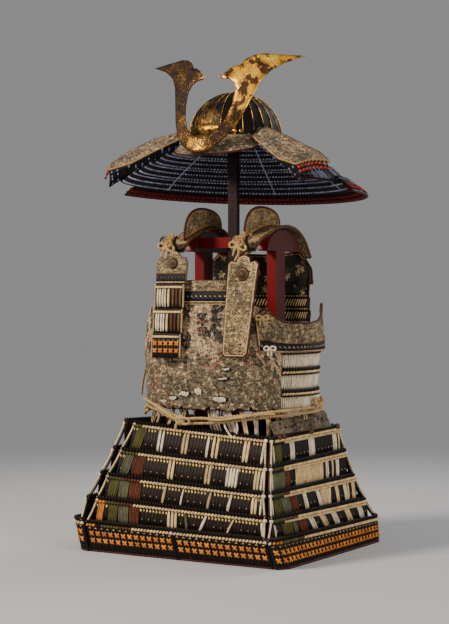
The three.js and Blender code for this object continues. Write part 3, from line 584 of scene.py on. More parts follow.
def twisted(pile, path, radius, pitch, paint, sides=8):
    """A cord of two twisted strands."""
    turn = 2 * np.pi * np.arange(sides) / sides
    reach = radius * (0.62 + 0.38 * np.abs(np.cos(turn)))
    section = np.column_stack([np.cos(turn) * reach, np.sin(turn) * reach])
    pile.put(*sweep(path, section, 2 * np.pi * lengths(path) / pitch), paint)


BEAD_FLAT = 0.12          # the angle of a bead's flat ends


def beads(pile, centres, size, axes, paint, rings=4, sides=6):
    """Small egg shapes, each with three half sizes along its own three directions.

    axes holds the three directions, each (n, 3), and paint is a name or (n, 4)."""
    centres = np.atleast_2d(centres)
    axes = np.stack([np.broadcast_to(way, centres.shape) for way in axes], 1)
    tilt = np.linspace(BEAD_FLAT, np.pi - BEAD_FLAT, rings)
    turn = 2 * np.pi * np.arange(sides) / sides
    ball = xyz(np.outer(np.sin(tilt), np.cos(turn)), np.outer(np.sin(tilt), np.sin(turn)),
               np.cos(tilt)[:, None]).reshape(-1, 3)
    points = centres[:, None] + (ball * np.asarray(size, float)) @ axes
    faces = np.concatenate([grid(rings, sides, True), end_caps(0, sides, -1),
                            end_caps((rings - 1) * sides, sides, 1)])
    shift = np.arange(len(centres))[:, None, None] * rings * sides
    if not isinstance(paint, str):
        paint = np.repeat(np.broadcast_to(paint, (len(centres), 4)), rings * sides, 0)
    pile.put(points, (faces + shift).reshape(-1, 4), paint)


def bar(pile, path, width, paint="black", sides=8, height=None, taper=None):
    """A plain round or oval cord along a path."""
    pile.put(*sweep(path, oval(width, height or width, sides), taper=taper), paint)


def ribbon(pile, path, side, up, width, height, paint, taper=None):
    """A flat lace along a path, with its width along side and its thickness along up."""
    pile.put(*sweep(path, oval(width, height), taper=taper, ways=(side, up)), paint)


def tube(pile, points, radius, paint, step=6.0, sides=8):
    bar(pile, smooth_path(points, step), 2 * radius, paint, sides)


def inside(spot, outline):
    """Whether each point of spot lies inside a closed outline."""
    x, y = spot[:, 0][:, None], spot[:, 1][:, None]
    ax, ay = outline[:, 0], outline[:, 1]
    bx, by = np.roll(ax, -1), np.roll(ay, -1)
    crosses = ((ay > y) != (by > y)) & (x < (bx - ax) * (y - ay) / (by - ay + 1e-12) + ax)
    return crosses.sum(1) % 2 == 1


SWELL_REACH = 6.0         # how far in from its rim a plate's face rises


def plate(pile, outline, thickness, place, step, swell):
    """A closed plate cut to an outline; place(out, up, depth) puts its points in space."""
    outline = np.asarray(outline, float)
    low, high = outline.min(0), outline.max(0)
    mesh = np.stack(np.meshgrid(np.arange(low[0], high[0], step),
                                np.arange(low[1], high[1], step)), -1).reshape(-1, 2)
    mesh = mesh[inside(mesh, outline)]
    gap = np.linalg.norm(mesh[:, None] - outline, axis=2).min(1)
    spots = [Vector(spot) for spot in np.concatenate([outline, mesh[gap > step * 0.6]])]
    edges = [(index, (index + 1) % len(outline)) for index in range(len(outline))]
    flat, _, faces, *_ = delaunay_2d_cdt(spots, edges, [], 1, 1e-5)
    flat, faces = np.array(flat), np.array(faces)
    a, b, c = flat[faces.T]
    turn = (b[:, 0] - a[:, 0]) * (c[:, 1] - a[:, 1]) - (b[:, 1] - a[:, 1]) * (c[:, 0] - a[:, 0])
    faces[turn < 0] = faces[turn < 0][:, ::-1]
    pairs = {(face[index], face[index - 2]): True for face in faces for index in range(3)}
    rim = [pair for pair in pairs if pair[::-1] not in pairs]
    near = np.linalg.norm(flat[:, None] - outline, axis=2).min(1)
    front = place(*flat.T, -swell * (1 - np.exp(-near / SWELL_REACH)))
    back = place(*flat.T, thickness)
    total = len(flat)
    sides = [[end, start, start + total, end + total] for start, end in rim]
    pile.put(np.concatenate([front, back]), (faces, faces[:, ::-1] + total, sides), "tan",
             np.concatenate([flat, flat]))


FACE_SAMPLES = 361


class Face:
    """A lame's or plate's outer face, measured in mm along it, down it and out from it."""

    def __init__(self, surface, side=1.0, line=0.35):
        """surface takes shares along and down; the width is measured at the share line."""
        self.surface = surface
        self.side = side
        self.shares = np.linspace(0, 1, FACE_SAMPLES)
        self.run = lengths(surface(self.shares, np.full(FACE_SAMPLES, line)))
        self.width = self.run[-1]
        ends = surface(np.array([0.5, 0.5]), np.array([0.0, 1.0]))
        self.height = np.linalg.norm(ends[1] - ends[0])

    def basis(self, along, down):
        """A point of the face, and the directions along, down and out from it."""
        along, down = np.broadcast_arrays(np.asarray(along, float), np.asarray(down, float))
        u = np.interp(along, self.run, self.shares)
        v = down / self.height
        small = 2e-3
        across = unit(self.surface(np.minimum(u + small, 1), v)
                      - self.surface(np.maximum(u - small, 0), v))
        fall = unit(self.surface(u, v + small) - self.surface(u, v - small))
        return self.surface(u, v), across, fall, -unit(np.cross(across, fall)) * self.side

    def at(self, along, down, out=0.0):
        spot, _, _, normal = self.basis(along, down)
        return spot + np.asarray(out, float)[..., None] * normal


RIDGE = np.array([0.0, 0.75, 1.0, 1.0, 0.75])          # one scale's face, across it
RIDGE_HEAD = np.array([0.35, 0.9, 1.0, 1.0, 1.0])      # and down it


def ridged(pile, face, pitch, deep, thickness, paint, notch=1.6, valley="brown"):
    """The wall of a lame: upright scales side by side, with rounded heads."""
    count = max(int(round(face.width / pitch)), 2)
    ridge = np.append(np.tile(RIDGE, count), 0.0)
    heights = np.array([0.0, 1.4, 4.0, face.height / 2, face.height])
    along, down = np.meshgrid(np.linspace(0, face.width, len(ridge)), heights)
    down[0] += notch * (1 - ridge)
    outer = face.at(along, down, np.outer(RIDGE_HEAD, ridge) * deep - 0.5 * deep)
    points, faces = shell(outer, face.at(along, down, -thickness))
    colours = np.where(ridge[:, None] > 0.1, PAINTS[paint], PAINTS[valley])
    pile.put(points, faces, np.tile(colours, (2 * len(heights), 1)))


def lace(pile, face, along, top, foot, width, paint, out, lean):
    """One flat lace down a face, a little slack and a little out of line."""
    share = np.linspace(0, 1, 5)
    belly = np.sin(np.pi * share)
    along = along + lean * share + random.uniform(-0.5, 0.5) * belly
    spot, across, _, normal = face.basis(along, mix(top, foot, share))
    path = spot + (out + belly + random.uniform(0, 0.3))[:, None] * normal
    size = 0.72 + 0.28 * belly ** 0.5
    ribbon(pile, path, across, normal, width, min(0.5 * width, 2.6), tinted(paint, 0.12), size)


def tinted(paint, spread):
    colour = np.array(PAINTS[paint])
    colour[:3] *= 1 + random.uniform(-spread, spread)
    return colour


def tints(paint, spread, count):
    return np.array([tinted(paint, spread) for _ in range(count)])


PALE = ("white", "cream", "tan")
SCALE = 8.25           # pitch of the skirt's scales, and of the pale laces
STRAND = 3.7           # pitch of the coloured laces
LACE = 4.6             # pitch of the trunk's and the neck guard's laces


def laces(pile, face, spans, top, foot, pitch=None, out=1.5, uneven=1.5):
    """Laces side by side over each (from, to, paint) or (from, to, paint, lean).

    Pale laces are one to a scale unless a pitch is given. The coloured ones are in strands."""
    for start, end, paint, *lean in spans:
        step = pitch or (SCALE if paint in PALE else STRAND)
        count = max(int(round((end - start) / step)), 1)
        step = (end - start) / count
        for index in range(count):
            low = foot - random.uniform(0, uneven)
            lace(pile, face, start + step * (index + 0.5), top, low, min(step, 8.0) * 0.86,
                 paint, out, sum(lean))


def cord_band(pile, face, down, radius, out):
    """A twisted cream cord along a lame."""
    along = np.arange(0.8, face.width - 0.8, 2.6)
    twisted(pile, face.at(along, down, out), radius, 12.0, "cream", 10)


def scale_places(face, pitch):
    count = int(round(face.width / pitch))
    return face.width * (np.arange(count) + 0.5) / count


def leaning(pile, face, along, down, out, size, lean, colours, rings=4, sides=6):
    """A row of beads whose long sides lean along the face."""
    spot, across, fall, normal = face.basis(along, down)
    tilted = across * math.cos(lean) - fall * math.sin(lean)
    ways = (tilted, unit(np.cross(normal, tilted)), normal)
    beads(pile, spot + out * normal, size, ways, colours, rings, sides)


def braid(pile, face, down, bands, size=(5.0, 3.1, 3.0), out=2.4, lean=0.62, pitch=SCALE):
    """The flat braid that holds a row of scales: a chain of leaning knots.

    bands lists (to, paint), in mm from the start. The rest is cream."""
    bar(pile, face.at(np.linspace(0.5, face.width - 0.5, 60), down, 0.6), 4.4, "brown", 6, 2.4)
    along = scale_places(face, pitch)
    ends, paints = zip(*bands, (math.inf, "cream"))
    colours = [tinted(paints[np.searchsorted(ends, place)], 0.16) for place in along]
    leaning(pile, face, along, down, out, size, lean, colours)


def dots(pile, face, down, pitch, size, paint, out=0.9, skip=()):
    """One small stitch on each scale, left out where laces cover it."""
    along = [place for place in scale_places(face, pitch)
             if not any(span[0] - 1 < place < span[1] + 1 for span in skip)]
    if along:
        spot, *axes = face.basis(along, down)
        beads(pile, spot + out * axes[-1], size, axes, tints(paint, 0.25, len(along)), 3)


def crosses(pile, face, down, pitch, paint, size=(11.5, 11.0), start=0.0, end=None, out=1.6):
    """Cross knots, each of two short laces."""
    end = end or face.width
    count = max(int(round((end - start) / pitch)), 1)
    share = np.linspace(-1, 1, 4)
    wide, tall = size
    for middle in start + (end - start) * (np.arange(count) + 0.5) / count:
        colour = tinted(paint, 0.22)
        for way, lift in ((-1, 0.0), (1, 0.7)):
            spot, across, fall, normal = face.basis(middle + way * share * wide * 0.42,
                                                    down + share * tall * 0.42)
            path = spot + (out + lift + 0.5 * (1 - share ** 2))[:, None] * normal
            ribbon(pile, path, unit(across * tall - way * fall * wide), normal, 4.6, 2.4, colour)


def knob(pile, face, along, down, out, size, paint, rings=4, sides=8):
    """One bead on a face."""
    spot, *axes = face.basis(along, down)
    beads(pile, spot + out * axes[-1], size, axes, paint, rings, sides)


def edge_cord(pile, face, along, paint, radius, knot=None):
    """The cord bound down one end of a lame, with a knot at the cord line."""
    down = np.arange(2.0, face.height - 1, 3.0)
    twisted(pile, face.at(along, down, 0.5), radius, 13.0, paint)
    if knot:
        knob(pile, face, along, 11.0, 3.0, (4.2, 4.0, 3.6), knot, 6)


# ------------------------------------------------------------------ skirt

SKIRT_ROWS = {            # reach, start, end, height at start, height at end
    "front": [(146, -171, 171, 278, 257), (178, -186, 187, 220, 200), (206, -203, 199, 166, 147),
              (228, -217, 214, 116, 99), (248, -233, 222, 63, 58), (226, -233, 230, 0, 0)],
    "left": [(181, -150, 168, 257, 262), (196, -179, 176, 200, 207), (208, -203, 196, 147, 150),
             (224, -228, 222, 99, 93), (246, -251, 260, 58, 50), (257, -226, 250, 0, 0)],
    "back": [(164, -171, 171, 262, 270), (182, -187, 186, 206, 213), (206, -199, 203, 150, 157),
             (228, -214, 217, 96, 106), (248, -214, 233, 56, 60), (240, -214, 233, 0, 0)],
    "right": [(197, -168, 148, 270, 281), (206, -176, 179, 212, 222), (225, -196, 201, 158, 168),
              (244, -222, 226, 106, 115), (278, -251, 254, 60, 68), (280, -236, 226, 0, 0)],
}
SKIRT_TURN = {"front": 0, "left": 90, "back": 180, "right": 270}
SKIRT = {"thick": 5, "rise": 11, "drop": 4, "tuck": 9, "hem_tuck": 15, "bow": 2}
CORNER = (6, 0.5)
HEM_CORNER = {"left": (42, 0.95), "right": (42, 1.5)}
HEM_SPLIT = 1.5


def turned_end(share, start, end, radius, sweep):
    """How far across and back a lame lies whose ends turn back round a radius."""
    half = (end - start) / 2
    straight = half - radius * math.sin(sweep)
    run = np.abs(2 * share - 1) * (straight + radius * sweep)
    turn = np.maximum(run - straight, 0) / radius
    reach = np.where(turn > 0, straight + radius * np.sin(turn), run)
    return (start + end) / 2 + np.where(share < 0.5, -1, 1) * reach, radius * (1 - np.cos(turn))


def skirt_surface(panel, row, start_share=0.0, end_share=1.0):
    """The outer face of one skirt lame, as a function of shares along and down."""
    upper, lower = SKIRT_ROWS[panel][row], SKIRT_ROWS[panel][row + 1]
    hem = row == 4
    radius, sweep = HEM_CORNER[panel] if hem and panel in HEM_CORNER else CORNER
    tuck = SKIRT["hem_tuck"] if row == 3 else SKIRT["tuck"]
    turn = math.radians(SKIRT_TURN[panel])

    def surface(along, down):
        along = mix(start_share, end_share, along)
        reach = mix(upper[0], lower[0] - (0 if hem else tuck), down)
        start = mix(upper[1], lower[1] if hem else upper[1], down)
        end = mix(upper[2], lower[2] if hem else upper[2], down)
        head = mix(upper[3], upper[4], along) + SKIRT["rise"]
        foot = mix(lower[3], lower[4], along) - (0 if hem else SKIRT["drop"])
        across, back = turned_end(along, start, end, radius, sweep)
        depth = back + SKIRT["bow"] * (2 * along - 1) ** 2 - reach
        return xyz(across * math.cos(turn) - depth * math.sin(turn),
                   across * math.sin(turn) + depth * math.cos(turn), mix(head, foot, down))

    return surface


# What is left of the lacing on each lame: (from, to, paint) in mm from its start, then lean
LACING = {
    ("front", 0): [(14, 38, "olive", -11), (70, 89, "white"), (135, 152, "tan"),
                   (197, 206, "white"), (211, 231, "cream"), (289, 306, "cream"),
                   (334, 342, "white")],
    ("front", 1): [(16, 40, "sage", -10), (41, 71, "russet", -3), (132, 150, "cream"),
                   (227, 244, "tan"), (280, 310, "white"), (348, 363, "cream"),
                   (364, 372, "white")],
    ("front", 2): [(12, 37, "olive", -6), (38, 64, "sage", -3), (65, 95, "russet"),
                   (154, 162, "tan", -5), (202, 207, "white", -5), (268, 278, "tan", -6),
                   (318, 330, "white", -7), (373, 388, "cream"), (393, 400, "white")],
    ("front", 3): [(8, 24, "orange", -6), (36, 60, "olive", -3), (62, 88, "sage"),
                   (90, 116, "russet"), (189, 216, "cream"), (232, 238, "sage", 6),
                   (283, 291, "white", -16), (352, 358, "cream", -17),
                   (416, 428, "white", 5)],
    ("left", 0): [(4, 10, "white"), (10, 41, "olive"), (77, 98, "white"), (162, 191, "white"),
                  (280, 301, "white"), (308, 316, "cream")],
    ("left", 1): [(3, 10, "white"), (10, 59, "sage"), (60, 82, "russet"), (106, 236, "cream"),
                  (248, 262, "white"), (278, 286, "cream"), (298, 314, "white")],
    ("left", 2): [(3, 10, "white"), (12, 43, "olive", 5), (43, 78, "sage", 9),
                  (80, 108, "russet", 12), (136, 153, "white", 12), (196, 213, "white", 16),
                  (218, 260, "cream", 10), (264, 272, "white", -8), (290, 306, "cream", 8),
                  (330, 347, "white", 10), (352, 360, "cream", 4), (376, 393, "cream")],
    ("left", 3): [(8, 16, "white", 4), (40, 84, "olive", 8), (88, 104, "sage", 10),
                  (112, 146, "russet", 12), (156, 178, "white", 22), (206, 231, "cream", 24),
                  (262, 287, "white", 22), (328, 353, "cream", 20), (394, 419, "white", 14)],
}
# The braids take the same colours at the corners: (to, paint) in mm from the start
BANDS = {
    ("front", 0): [(26, "olive")],
    ("front", 1): [(52, "olive")],
    ("front", 2): [(38, "olive"), (88, "russet")],
    ("front", 3): [(22, "orange"), (62, "olive"), (98, "russet")],
    ("front", 4): [(24, "orange"), (44, "black"), (92, "olive"), (120, "russet")],
    ("left", 1): [(9, "white"), (58, "olive")],
    ("left", 2): [(9, "white"), (62, "olive"), (84, "russet")],
    ("left", 3): [(9, "white"), (78, "olive"), (114, "russet")],
    ("left", 4): [(10, "white"), (34, "orange"), (96, "olive"), (128, "russet")],
}
HIDDEN_HEM_BANDS = [(24, "orange"), (70, "olive"), (100, "russet")]


def hidden_lacing(row, width):
    """The other two panels keep scattered laces and the same coloured corners."""
    spans = [(4, 30 + 14 * row, "olive"), (32 + 14 * row, 52 + 20 * row, "russet")]
    place = spans[-1][1] + random.uniform(28, 50)
    while place < width - 30:
        wide = random.choice([9, 13, 18, 27])
        paint = random.choice(["white", "cream", "cream", "tan"])
        spans.append((place, place + wide, paint, random.choice([0, 0, 0, -5, 4])))
        place += wide + random.uniform(38, 82)
    return spans


def skirt_lame(panel, row):
    """One hanging lame above the hem: scales, braid, stitches and what laces are left."""
    pile = Pile()
    face = Face(skirt_surface(panel, row))
    spans = LACING.get((panel, row)) or hidden_lacing(row, face.width)
    bands = BANDS.get((panel, row)) or [(40 if row else 20, "olive")]
    ridged(pile, face, SCALE, 3.0, SKIRT["thick"] - 1.5, "black")
    dots(pile, face, 4.2, SCALE, (2.7, 6.8, 2.6), "black", 1.8)
    left = panel == "left"
    if left:
        braid(pile, face, 11.6, bands)
        braid(pile, face, 17.6, [(60, "black")], (5.2, 2.5, 2.3), lean=-0.4)
    else:
        braid(pile, face, 12.4, bands)
        dots(pile, face, 20.2, SCALE, (2.5, 3.6, 2.0), "yellow", 1.5, spans)
    dots(pile, face, face.height - 24, SCALE * 1.98, (1.0, 1.9, 1.0), "cream", 1.5, spans)
    dots(pile, face, face.height - 11, SCALE, (1.2, 3.4, 1.0), "brown", 1.6, spans)
    laces(pile, face, spans, 16.0, face.height - 8, 4.9 if left else None,
          uneven=5 if left else 2.0)
    edge_cord(pile, face, 1.6, "black", 3.0, "bronze" if panel == "front" else "white")
    edge_cord(pile, face, face.width - 1.6, "black", 3.0, "white")
    pile.make(f"skirt_{panel}_row_{row + 1}", [f"skirt_{panel}_lame_{row + 1}"])


def hem_lame(panel, bands, half="", start=0.0, end=1.0):
    """The stiff hem: a braid, a row of small stitches and two rows of cross knots."""
    pile = Pile()
    face = Face(skirt_surface(panel, 4, start, end), line=0.5)
    ridged(pile, face, SCALE, 2.4, SKIRT["thick"] - 1.2, "soot")
    dots(pile, face, 3.6, SCALE, (3.0, 5.6, 2.3), "black", 1.5)
    braid(pile, face, 11.4, bands)
    dots(pile, face, 19.0, SCALE * 2, (4.4, 1.7, 1.5), "tan", 1.6)
    dots(pile, face, 20.5, SCALE, (1.3, 3.4, 1.6), "navy", 1.6)
    for down in (31.0, 47.5):
        crosses(pile, face, down, SCALE * 2, "orange", start=3, end=face.width - 3)
        dots(pile, face, down + 8.4, SCALE, (2.6, 2.3, 1.5), "navy", 1.0)
    rim = face.at(np.linspace(0.5, face.width - 0.5, 90), face.height - 2.6, -0.6)
    bar(pile, rim, 5.0, "oxblood")
    edge_cord(pile, face, 1.2, "black", 3.0)
    edge_cord(pile, face, face.width - 1.2, "black", 3.0, "white")
    pile.make(f"skirt_{panel}_hem{half}", [f"skirt_{panel}_lame_5{half}"])


def edge_ties(panel, end):
    """Cords from each lame's end down to the next one's, at one end of a panel."""
    pile = Pile()
    rows = [Face(skirt_surface(panel, row)) for row in range(5)]
    for upper, lower in zip(rows, rows[1:]):
        near, next_near = (face.width - 3.0 if end else 3.0 for face in (upper, lower))
        for down, out, radius, paint in ((9, 2.5, 1.9, "cream"), (13, -1.5, 2.6, "black")):
            high = upper.at(near, down, out)
            low = lower.at(next_near, down - 4, out)
            tube(pile, [high, (high + low) / 2 - (0, 0, 2.5), low], radius, paint, sides=6)
        knob(pile, upper, near, 10.0, 2.6, (3.6, 3.4, 3.2), "white", 5)
    pile.make(f"skirt_{panel}_{'end' if end else 'start'}_ties", slot="silk_lacing")


def make_skirt():
    for panel in SKIRT_ROWS:
        edge_ties(panel, False)
        edge_ties(panel, True)
        for row in range(4):
            skirt_lame(panel, row)
        if panel != "front":
            hem_lame(panel, BANDS.get((panel, 4)) or HIDDEN_HEM_BANDS)
    _, start, end, *_ = SKIRT_ROWS["front"][4]
    slit = HEM_SPLIT / (end - start)
    hem_lame("front", BANDS["front", 4], "_right", 0.0, 0.5 - slit)
    hem_lame("front", [], "_left", 0.5 + slit, 1.0)


# ------------------------------------------------------------------ trunk

TRUNK_SECTIONS = ((318, 192, 149), (450, 198, 155), (660, 186, 150))
TRUNK_SQUARENESS = 2.4
TRUNK_FOOT = 318
TRUNK_HEADS = (500, 456, 411, 364)
TRUNK_SPAN = (-60, 240)
TRUNK_SCALE = 8.0
SHEET_EDGE, LACED_TO = 59, 128      # angles: where the white lacing starts and gets patchy
UPPER_BACK = {"head": 593, "foot": 504, "from": 140, "to": 220}


def trunk_point(angle, z, out=0.0):
    """Point on the trunk at an angle from the front, positive to the wearer's left."""
    heights, widths, depths = np.array(TRUNK_SECTIONS, float).T
    z = np.asarray(z, float)

    def size(values):
        top = values[-1] + (z - heights[-1]) * (values[2] - values[1]) / (heights[2] - heights[1])
        return np.where(z > heights[-1], top, np.interp(z, heights, values))

    turn = np.radians(angle)
    power = 2 / TRUNK_SQUARENESS
    sine, cosine = np.sin(turn), np.cos(turn)
    x = (size(widths) + out) * np.sign(sine) * np.abs(sine) ** power
    y = -(size(depths) + out) * np.sign(cosine) * np.abs(cosine) ** power
    return xyz(x, y, z)


def trunk_surface(start, end, head, foot, out=0.0, tuck=0.0):
    """Part of the trunk from one angle to another; head may be a function of the angle."""

    def surface(along, down):
        angle = mix(start, end, along)
        top = head(angle) if callable(head) else head
        return trunk_point(angle, mix(top, foot, down), out - tuck * down)

    return surface


def along_of(face, angle):
    """How far along a trunk lame's face an angle lies, in mm."""
    start, end = TRUNK_SPAN
    return float(np.interp((angle - start) / (end - start), face.shares, face.run))


def trunk_lame(index):
    """A trunk lame. It is laced in white from the leather sheet's edge round to the back."""
    last = index == 3
    foot = TRUNK_FOOT if last else TRUNK_HEADS[index + 1] - 6
    pile = Pile()
    face = Face(trunk_surface(*TRUNK_SPAN, TRUNK_HEADS[index], foot, tuck=0 if last else 7))
    ridged(pile, face, TRUNK_SCALE, 1.6, 2.8, "soot", notch=1.2)
    sheet_edge = along_of(face, SHEET_EDGE)
    place = along_of(face, LACED_TO)
    spans = [(sheet_edge, place, "white")]
    while place < face.width - 12:
        wide = random.choice([26, 52, 88])
        spans.append((place, min(place + wide, face.width - 4), random.choice(["white", "cream"])))
        place += wide + random.choice([0, 9, 18, 34])
    laces(pile, face, spans, 16.5, face.height - (3 if last else 5), LACE, 0.9, 0.5)
    dots(pile, face, 4.4, TRUNK_SCALE, (3.0, 4.2, 1.9), "black", 1.0, [(0, sheet_edge)])
    along = scale_places(face, TRUNK_SCALE)
    along = along[along > sheet_edge]
    for down, half, paint in ((9.8, 2.3, "cream"), (13.6, 1.6, "black")):
        leaning(pile, face, along, down, 1.7, (5.0, half, 1.9), 0.45,
                tints(paint, 0.15, len(along)), 5, 8)
    edge_cord(pile, face, face.width - 1.2, "bronze", 2.2)
    if last:
        rim = face.at(np.linspace(1, face.width - 1, 160), face.height - 1.5, -0.8)
        bar(pile, rim, 4.0, "oxblood", 6)
        low_laces = [(a, a + random.uniform(5, 22), "white")
                     for a in np.arange(6, sheet_edge - 20, 24)]
        laces(pile, face, low_laces, face.height - 14, face.height - 2, LACE, 0.5)
    pile.make(f"trunk_row_{index + 1}", [f"trunk_lame_{index + 1}"])


def upper_lames():
    pile = Pile()
    face = Face(trunk_surface(-40, 40, 548, 503, -1.5))
    ridged(pile, face, TRUNK_SCALE, 1.5, 2.8, "soot")
    pile.make("upper_front_row", ["front_upper_lame"])
    pile = Pile()
    span = (UPPER_BACK["from"], UPPER_BACK["to"])
    tall = (UPPER_BACK["head"] - UPPER_BACK["foot"]) / 3
    for step in range(3):
        head = UPPER_BACK["head"] - tall * step
        foot = head - tall
        face = Face(trunk_surface(*span, head, foot - (4 if step < 2 else 0), 0.4, 3.4))
        ridged(pile, face, TRUNK_SCALE, 1.5, 3.0, "soot", notch=1.2)
        cord_band(pile, face, 8.0, 2.8, 1.6)
        spans = [(a, a + 20, random.choice(["white", "cream", "russet"]))
                 for a in np.arange(6, face.width - 24, random.choice([27, 34]))]
        laces(pile, face, spans, 10.5, face.height - 4, LACE, 0.9)
        inner = Face(trunk_surface(*span, head, foot, -4.0, 3.4), side=-1)
        slant = [(a, a + 3.4, "cream", 7) for a in np.arange(6, inner.width - 24, 8)]
        laces(pile, inner, slant, 4, inner.height - 9, 3.4, 0.8)
        dots(pile, inner, inner.height - 3, 9.0, (2.6, 1.5, 1.0), "cream")
    pile.make("upper_back_rows", ["back_upper_lames"])


def table_height(*table):
    """A height that follows (angle, height) pairs, the same to both sides."""
    angles, tops = zip(*table)
    return lambda angle: np.interp(np.abs(angle), angles, tops)


EDGES = {"top": np.s_[0], "foot": np.s_[-1], "start": np.s_[:, 0], "end": np.s_[:, -1]}


def leather_wall(name, kind, nodes, surface, thickness, rims, extras=None, side=1.0, step=4.0,
                 relief=None, ragged=None, slot="printed_leather"):
    """A leather-faced plate or sheet with relief, piping on its edges and whatever is on it.

    rims lists (edge, radius, paint), and extras(pile, face) adds the rest of the trim."""
    pile = Pile()
    face = Face(surface, side)
    columns = max(int(face.width / step), 6)
    rows = max(int(face.height / step), 4)
    along, down = np.meshgrid(np.linspace(0, face.width, columns + 1),
                              np.linspace(0, face.height, rows + 1))
    if ragged:
        down = ragged(along, down, face)
    out = relief(along, down) if relief else 0.0
    outer = face.at(along, down, out)
    inner = face.at(along, down, out - thickness)
    flat = np.stack([along, down], -1).reshape(-1, 2)
    pile.put(*shell(outer, inner), "tan", np.concatenate([flat, flat]))
    piece = pile.make(name, nodes, kind, slot)
    trim = Pile()
    for edge, radius, paint in rims:
        bar(trim, (outer[EDGES[edge]] + inner[EDGES[edge]]) / 2, 2 * radius, paint)
    if extras:
        extras(trim, face)
    trim.make(name + "_trim")
    return piece, face, face_area(outer)


def face_area(points):
    """Area of a grid of points, in square mm."""
    a = points[1:, :-1] - points[:-1, :-1]
    b = points[:-1, 1:] - points[:-1, :-1]
    return float(np.linalg.norm(np.cross(a, b), axis=2).sum())


# Creases of the leather sheet: from (along, down) to (along, down), in mm, depth and width
CREASES = (
    ((70, 118), (330, 178), -5.0, 7), ((80, 128), (330, 188), 3.5, 6),
    ((40, 150), (150, 205), -3.2, 6), ((120, 190), (255, 158), 3.0, 6),
    ((205, 120), (315, 150), -2.6, 5), ((30, 90), (120, 120), 2.4, 6),
    ((250, 195), (380, 180), -2.8, 6), ((60, 215), (210, 222), 2.8, 5),
    ((20, 60), (60, 160), -2.0, 8), ((150, 40), (175, 120), 1.6, 9),
)


def crease_relief(along, down):
    out = 0.9 * np.sin(along / 17.0) * np.sin(down / 23.0) + 1.2
    for (a0, d0), (a1, d1), deep, wide in CREASES:
        way = np.array([a1 - a0, d1 - d0], float)
        long = np.linalg.norm(way)
        share = ((along - a0) * way[0] + (down - d0) * way[1]) / long ** 2
        away = ((along - a0) * way[1] - (down - d0) * way[0]) / long
        away = away + 3.0 * np.sin(share * 5.0)
        fade = np.clip(1 - np.abs(2 * share - 1) ** 4, 0, 1) * (np.abs(share - 0.5) < 0.5)
        out = out + deep * fade * np.exp(-(away / wide) ** 2)
    return out


TORN_PITCH = 4.4
TORN = ((180, 196, 30, 10), (222, 190, 20, 16), (268, 206, 34, 12), (150, 206, 24, 8),
        (290, 140, 20, 5), (280, 160, 26, 4), (120, 214, 22, 6))


def torn_patch(pile, face, along, down, wide, tall):
    """A torn hole in the leather that shows white lacing."""
    half = wide / 2
    knob(pile, face, along + half, down, 1.6, (half + 3, tall / 2 + 2.5, 1.4), "soot", 5, 14)
    share = np.linspace(-1, 1, 4)
    for index in range(int(wide / TORN_PITCH)):
        away = (index + 0.5) * TORN_PITCH - half
        reach = tall * math.sqrt(max(1 - (away / half) ** 2, 0.08)) / 2
        shift = random.uniform(-1.5, 1.5)
        spot, across, _, normal = face.basis(along + half + away, down + shift + reach * share)
        ribbon(pile, spot + 3.2 * normal, across, normal, 3.7, 1.7, tinted("white", 0.1))


BAND_OUT = 1.2
BAND_STUDS = ((0, 0, 2.4, "tan"), (3.6, 2.6, 1.2, "slate"), (-3.4, -2.8, 1.3, "bronze"))


def studs(low, high):
    """A dark studded band with a cord on each side, between two distances from the foot."""
    def put(pile, face):
        foot, head = face.height - low, face.height - high
        along = np.linspace(1.5, face.width - 1.5, 80)
        mesh = np.meshgrid(along, np.linspace(head, foot, 4))
        pile.put(*shell(face.at(*mesh, BAND_OUT), face.at(*mesh, 0.1)), "navy")
        for down, paint in ((head - 1.5, "piping"), (foot + 1.5, "cream")):
            twisted(pile, face.at(along, down, BAND_OUT + 0.2), 1.6, 7.0, paint)
        count = int(face.width / 11)
        for middle in face.width * (np.arange(count) + 0.5) / count:
            for shift, drop, half, paint in BAND_STUDS:
                knob(pile, face, middle + shift, (foot + head) / 2 + drop, BAND_OUT + 0.1,
                     (half, half * 0.8, 0.9), tinted(paint, 0.35))
    return put


SHEET_TOP = table_height((0, 549), (34, 549), (42, 540), (50, 500), (58, 448))
BACK_TOP = table_height((0, 662), (22, 665), (34, 667), (40, 650), (43, 620))
BACK_BEND, BACK_LEAN = 630, 0.44
ARMPIT_TOP = table_height((40, 530), (44, 540), (48, 534), (53, 519), (60, 511), (70, 507),
                          (88, 508), (97, 513), (106, 526), (114, 541), (119, 550),
                          (124, 547), (127, 534))


def sheet_foot(along, down, face):
    """The leather sheet's ragged lower edge."""
    lift = 3.5 * np.sin(along / 13.0) + 2.5 * np.sin(along / 5.1 + 1.0) + 5.0
    low = np.clip((down - face.height + 30) / 30, 0, 1)
    return down - low * np.clip(lift, 0, None)


def sheet_tears(pile, face):
    for spot in TORN:
        torn_patch(pile, face, *spot)


def back_surface(half, foot, outs, cut=0.0):
    """The back plate or its lining, which leans in above its bend."""
    def surface(along, down):
        angle = mix(180 - half, 180 + half, along)
        z = mix(BACK_TOP(angle - 180) - cut, foot, down)
        return trunk_point(angle, z, np.interp(z, (598, 614), outs)
                           - BACK_LEAN * np.maximum(z - BACK_BEND, 0))

    return surface


def side_top(angle):
    return 492 + 22 * ((angle + 91) / 37) ** 2


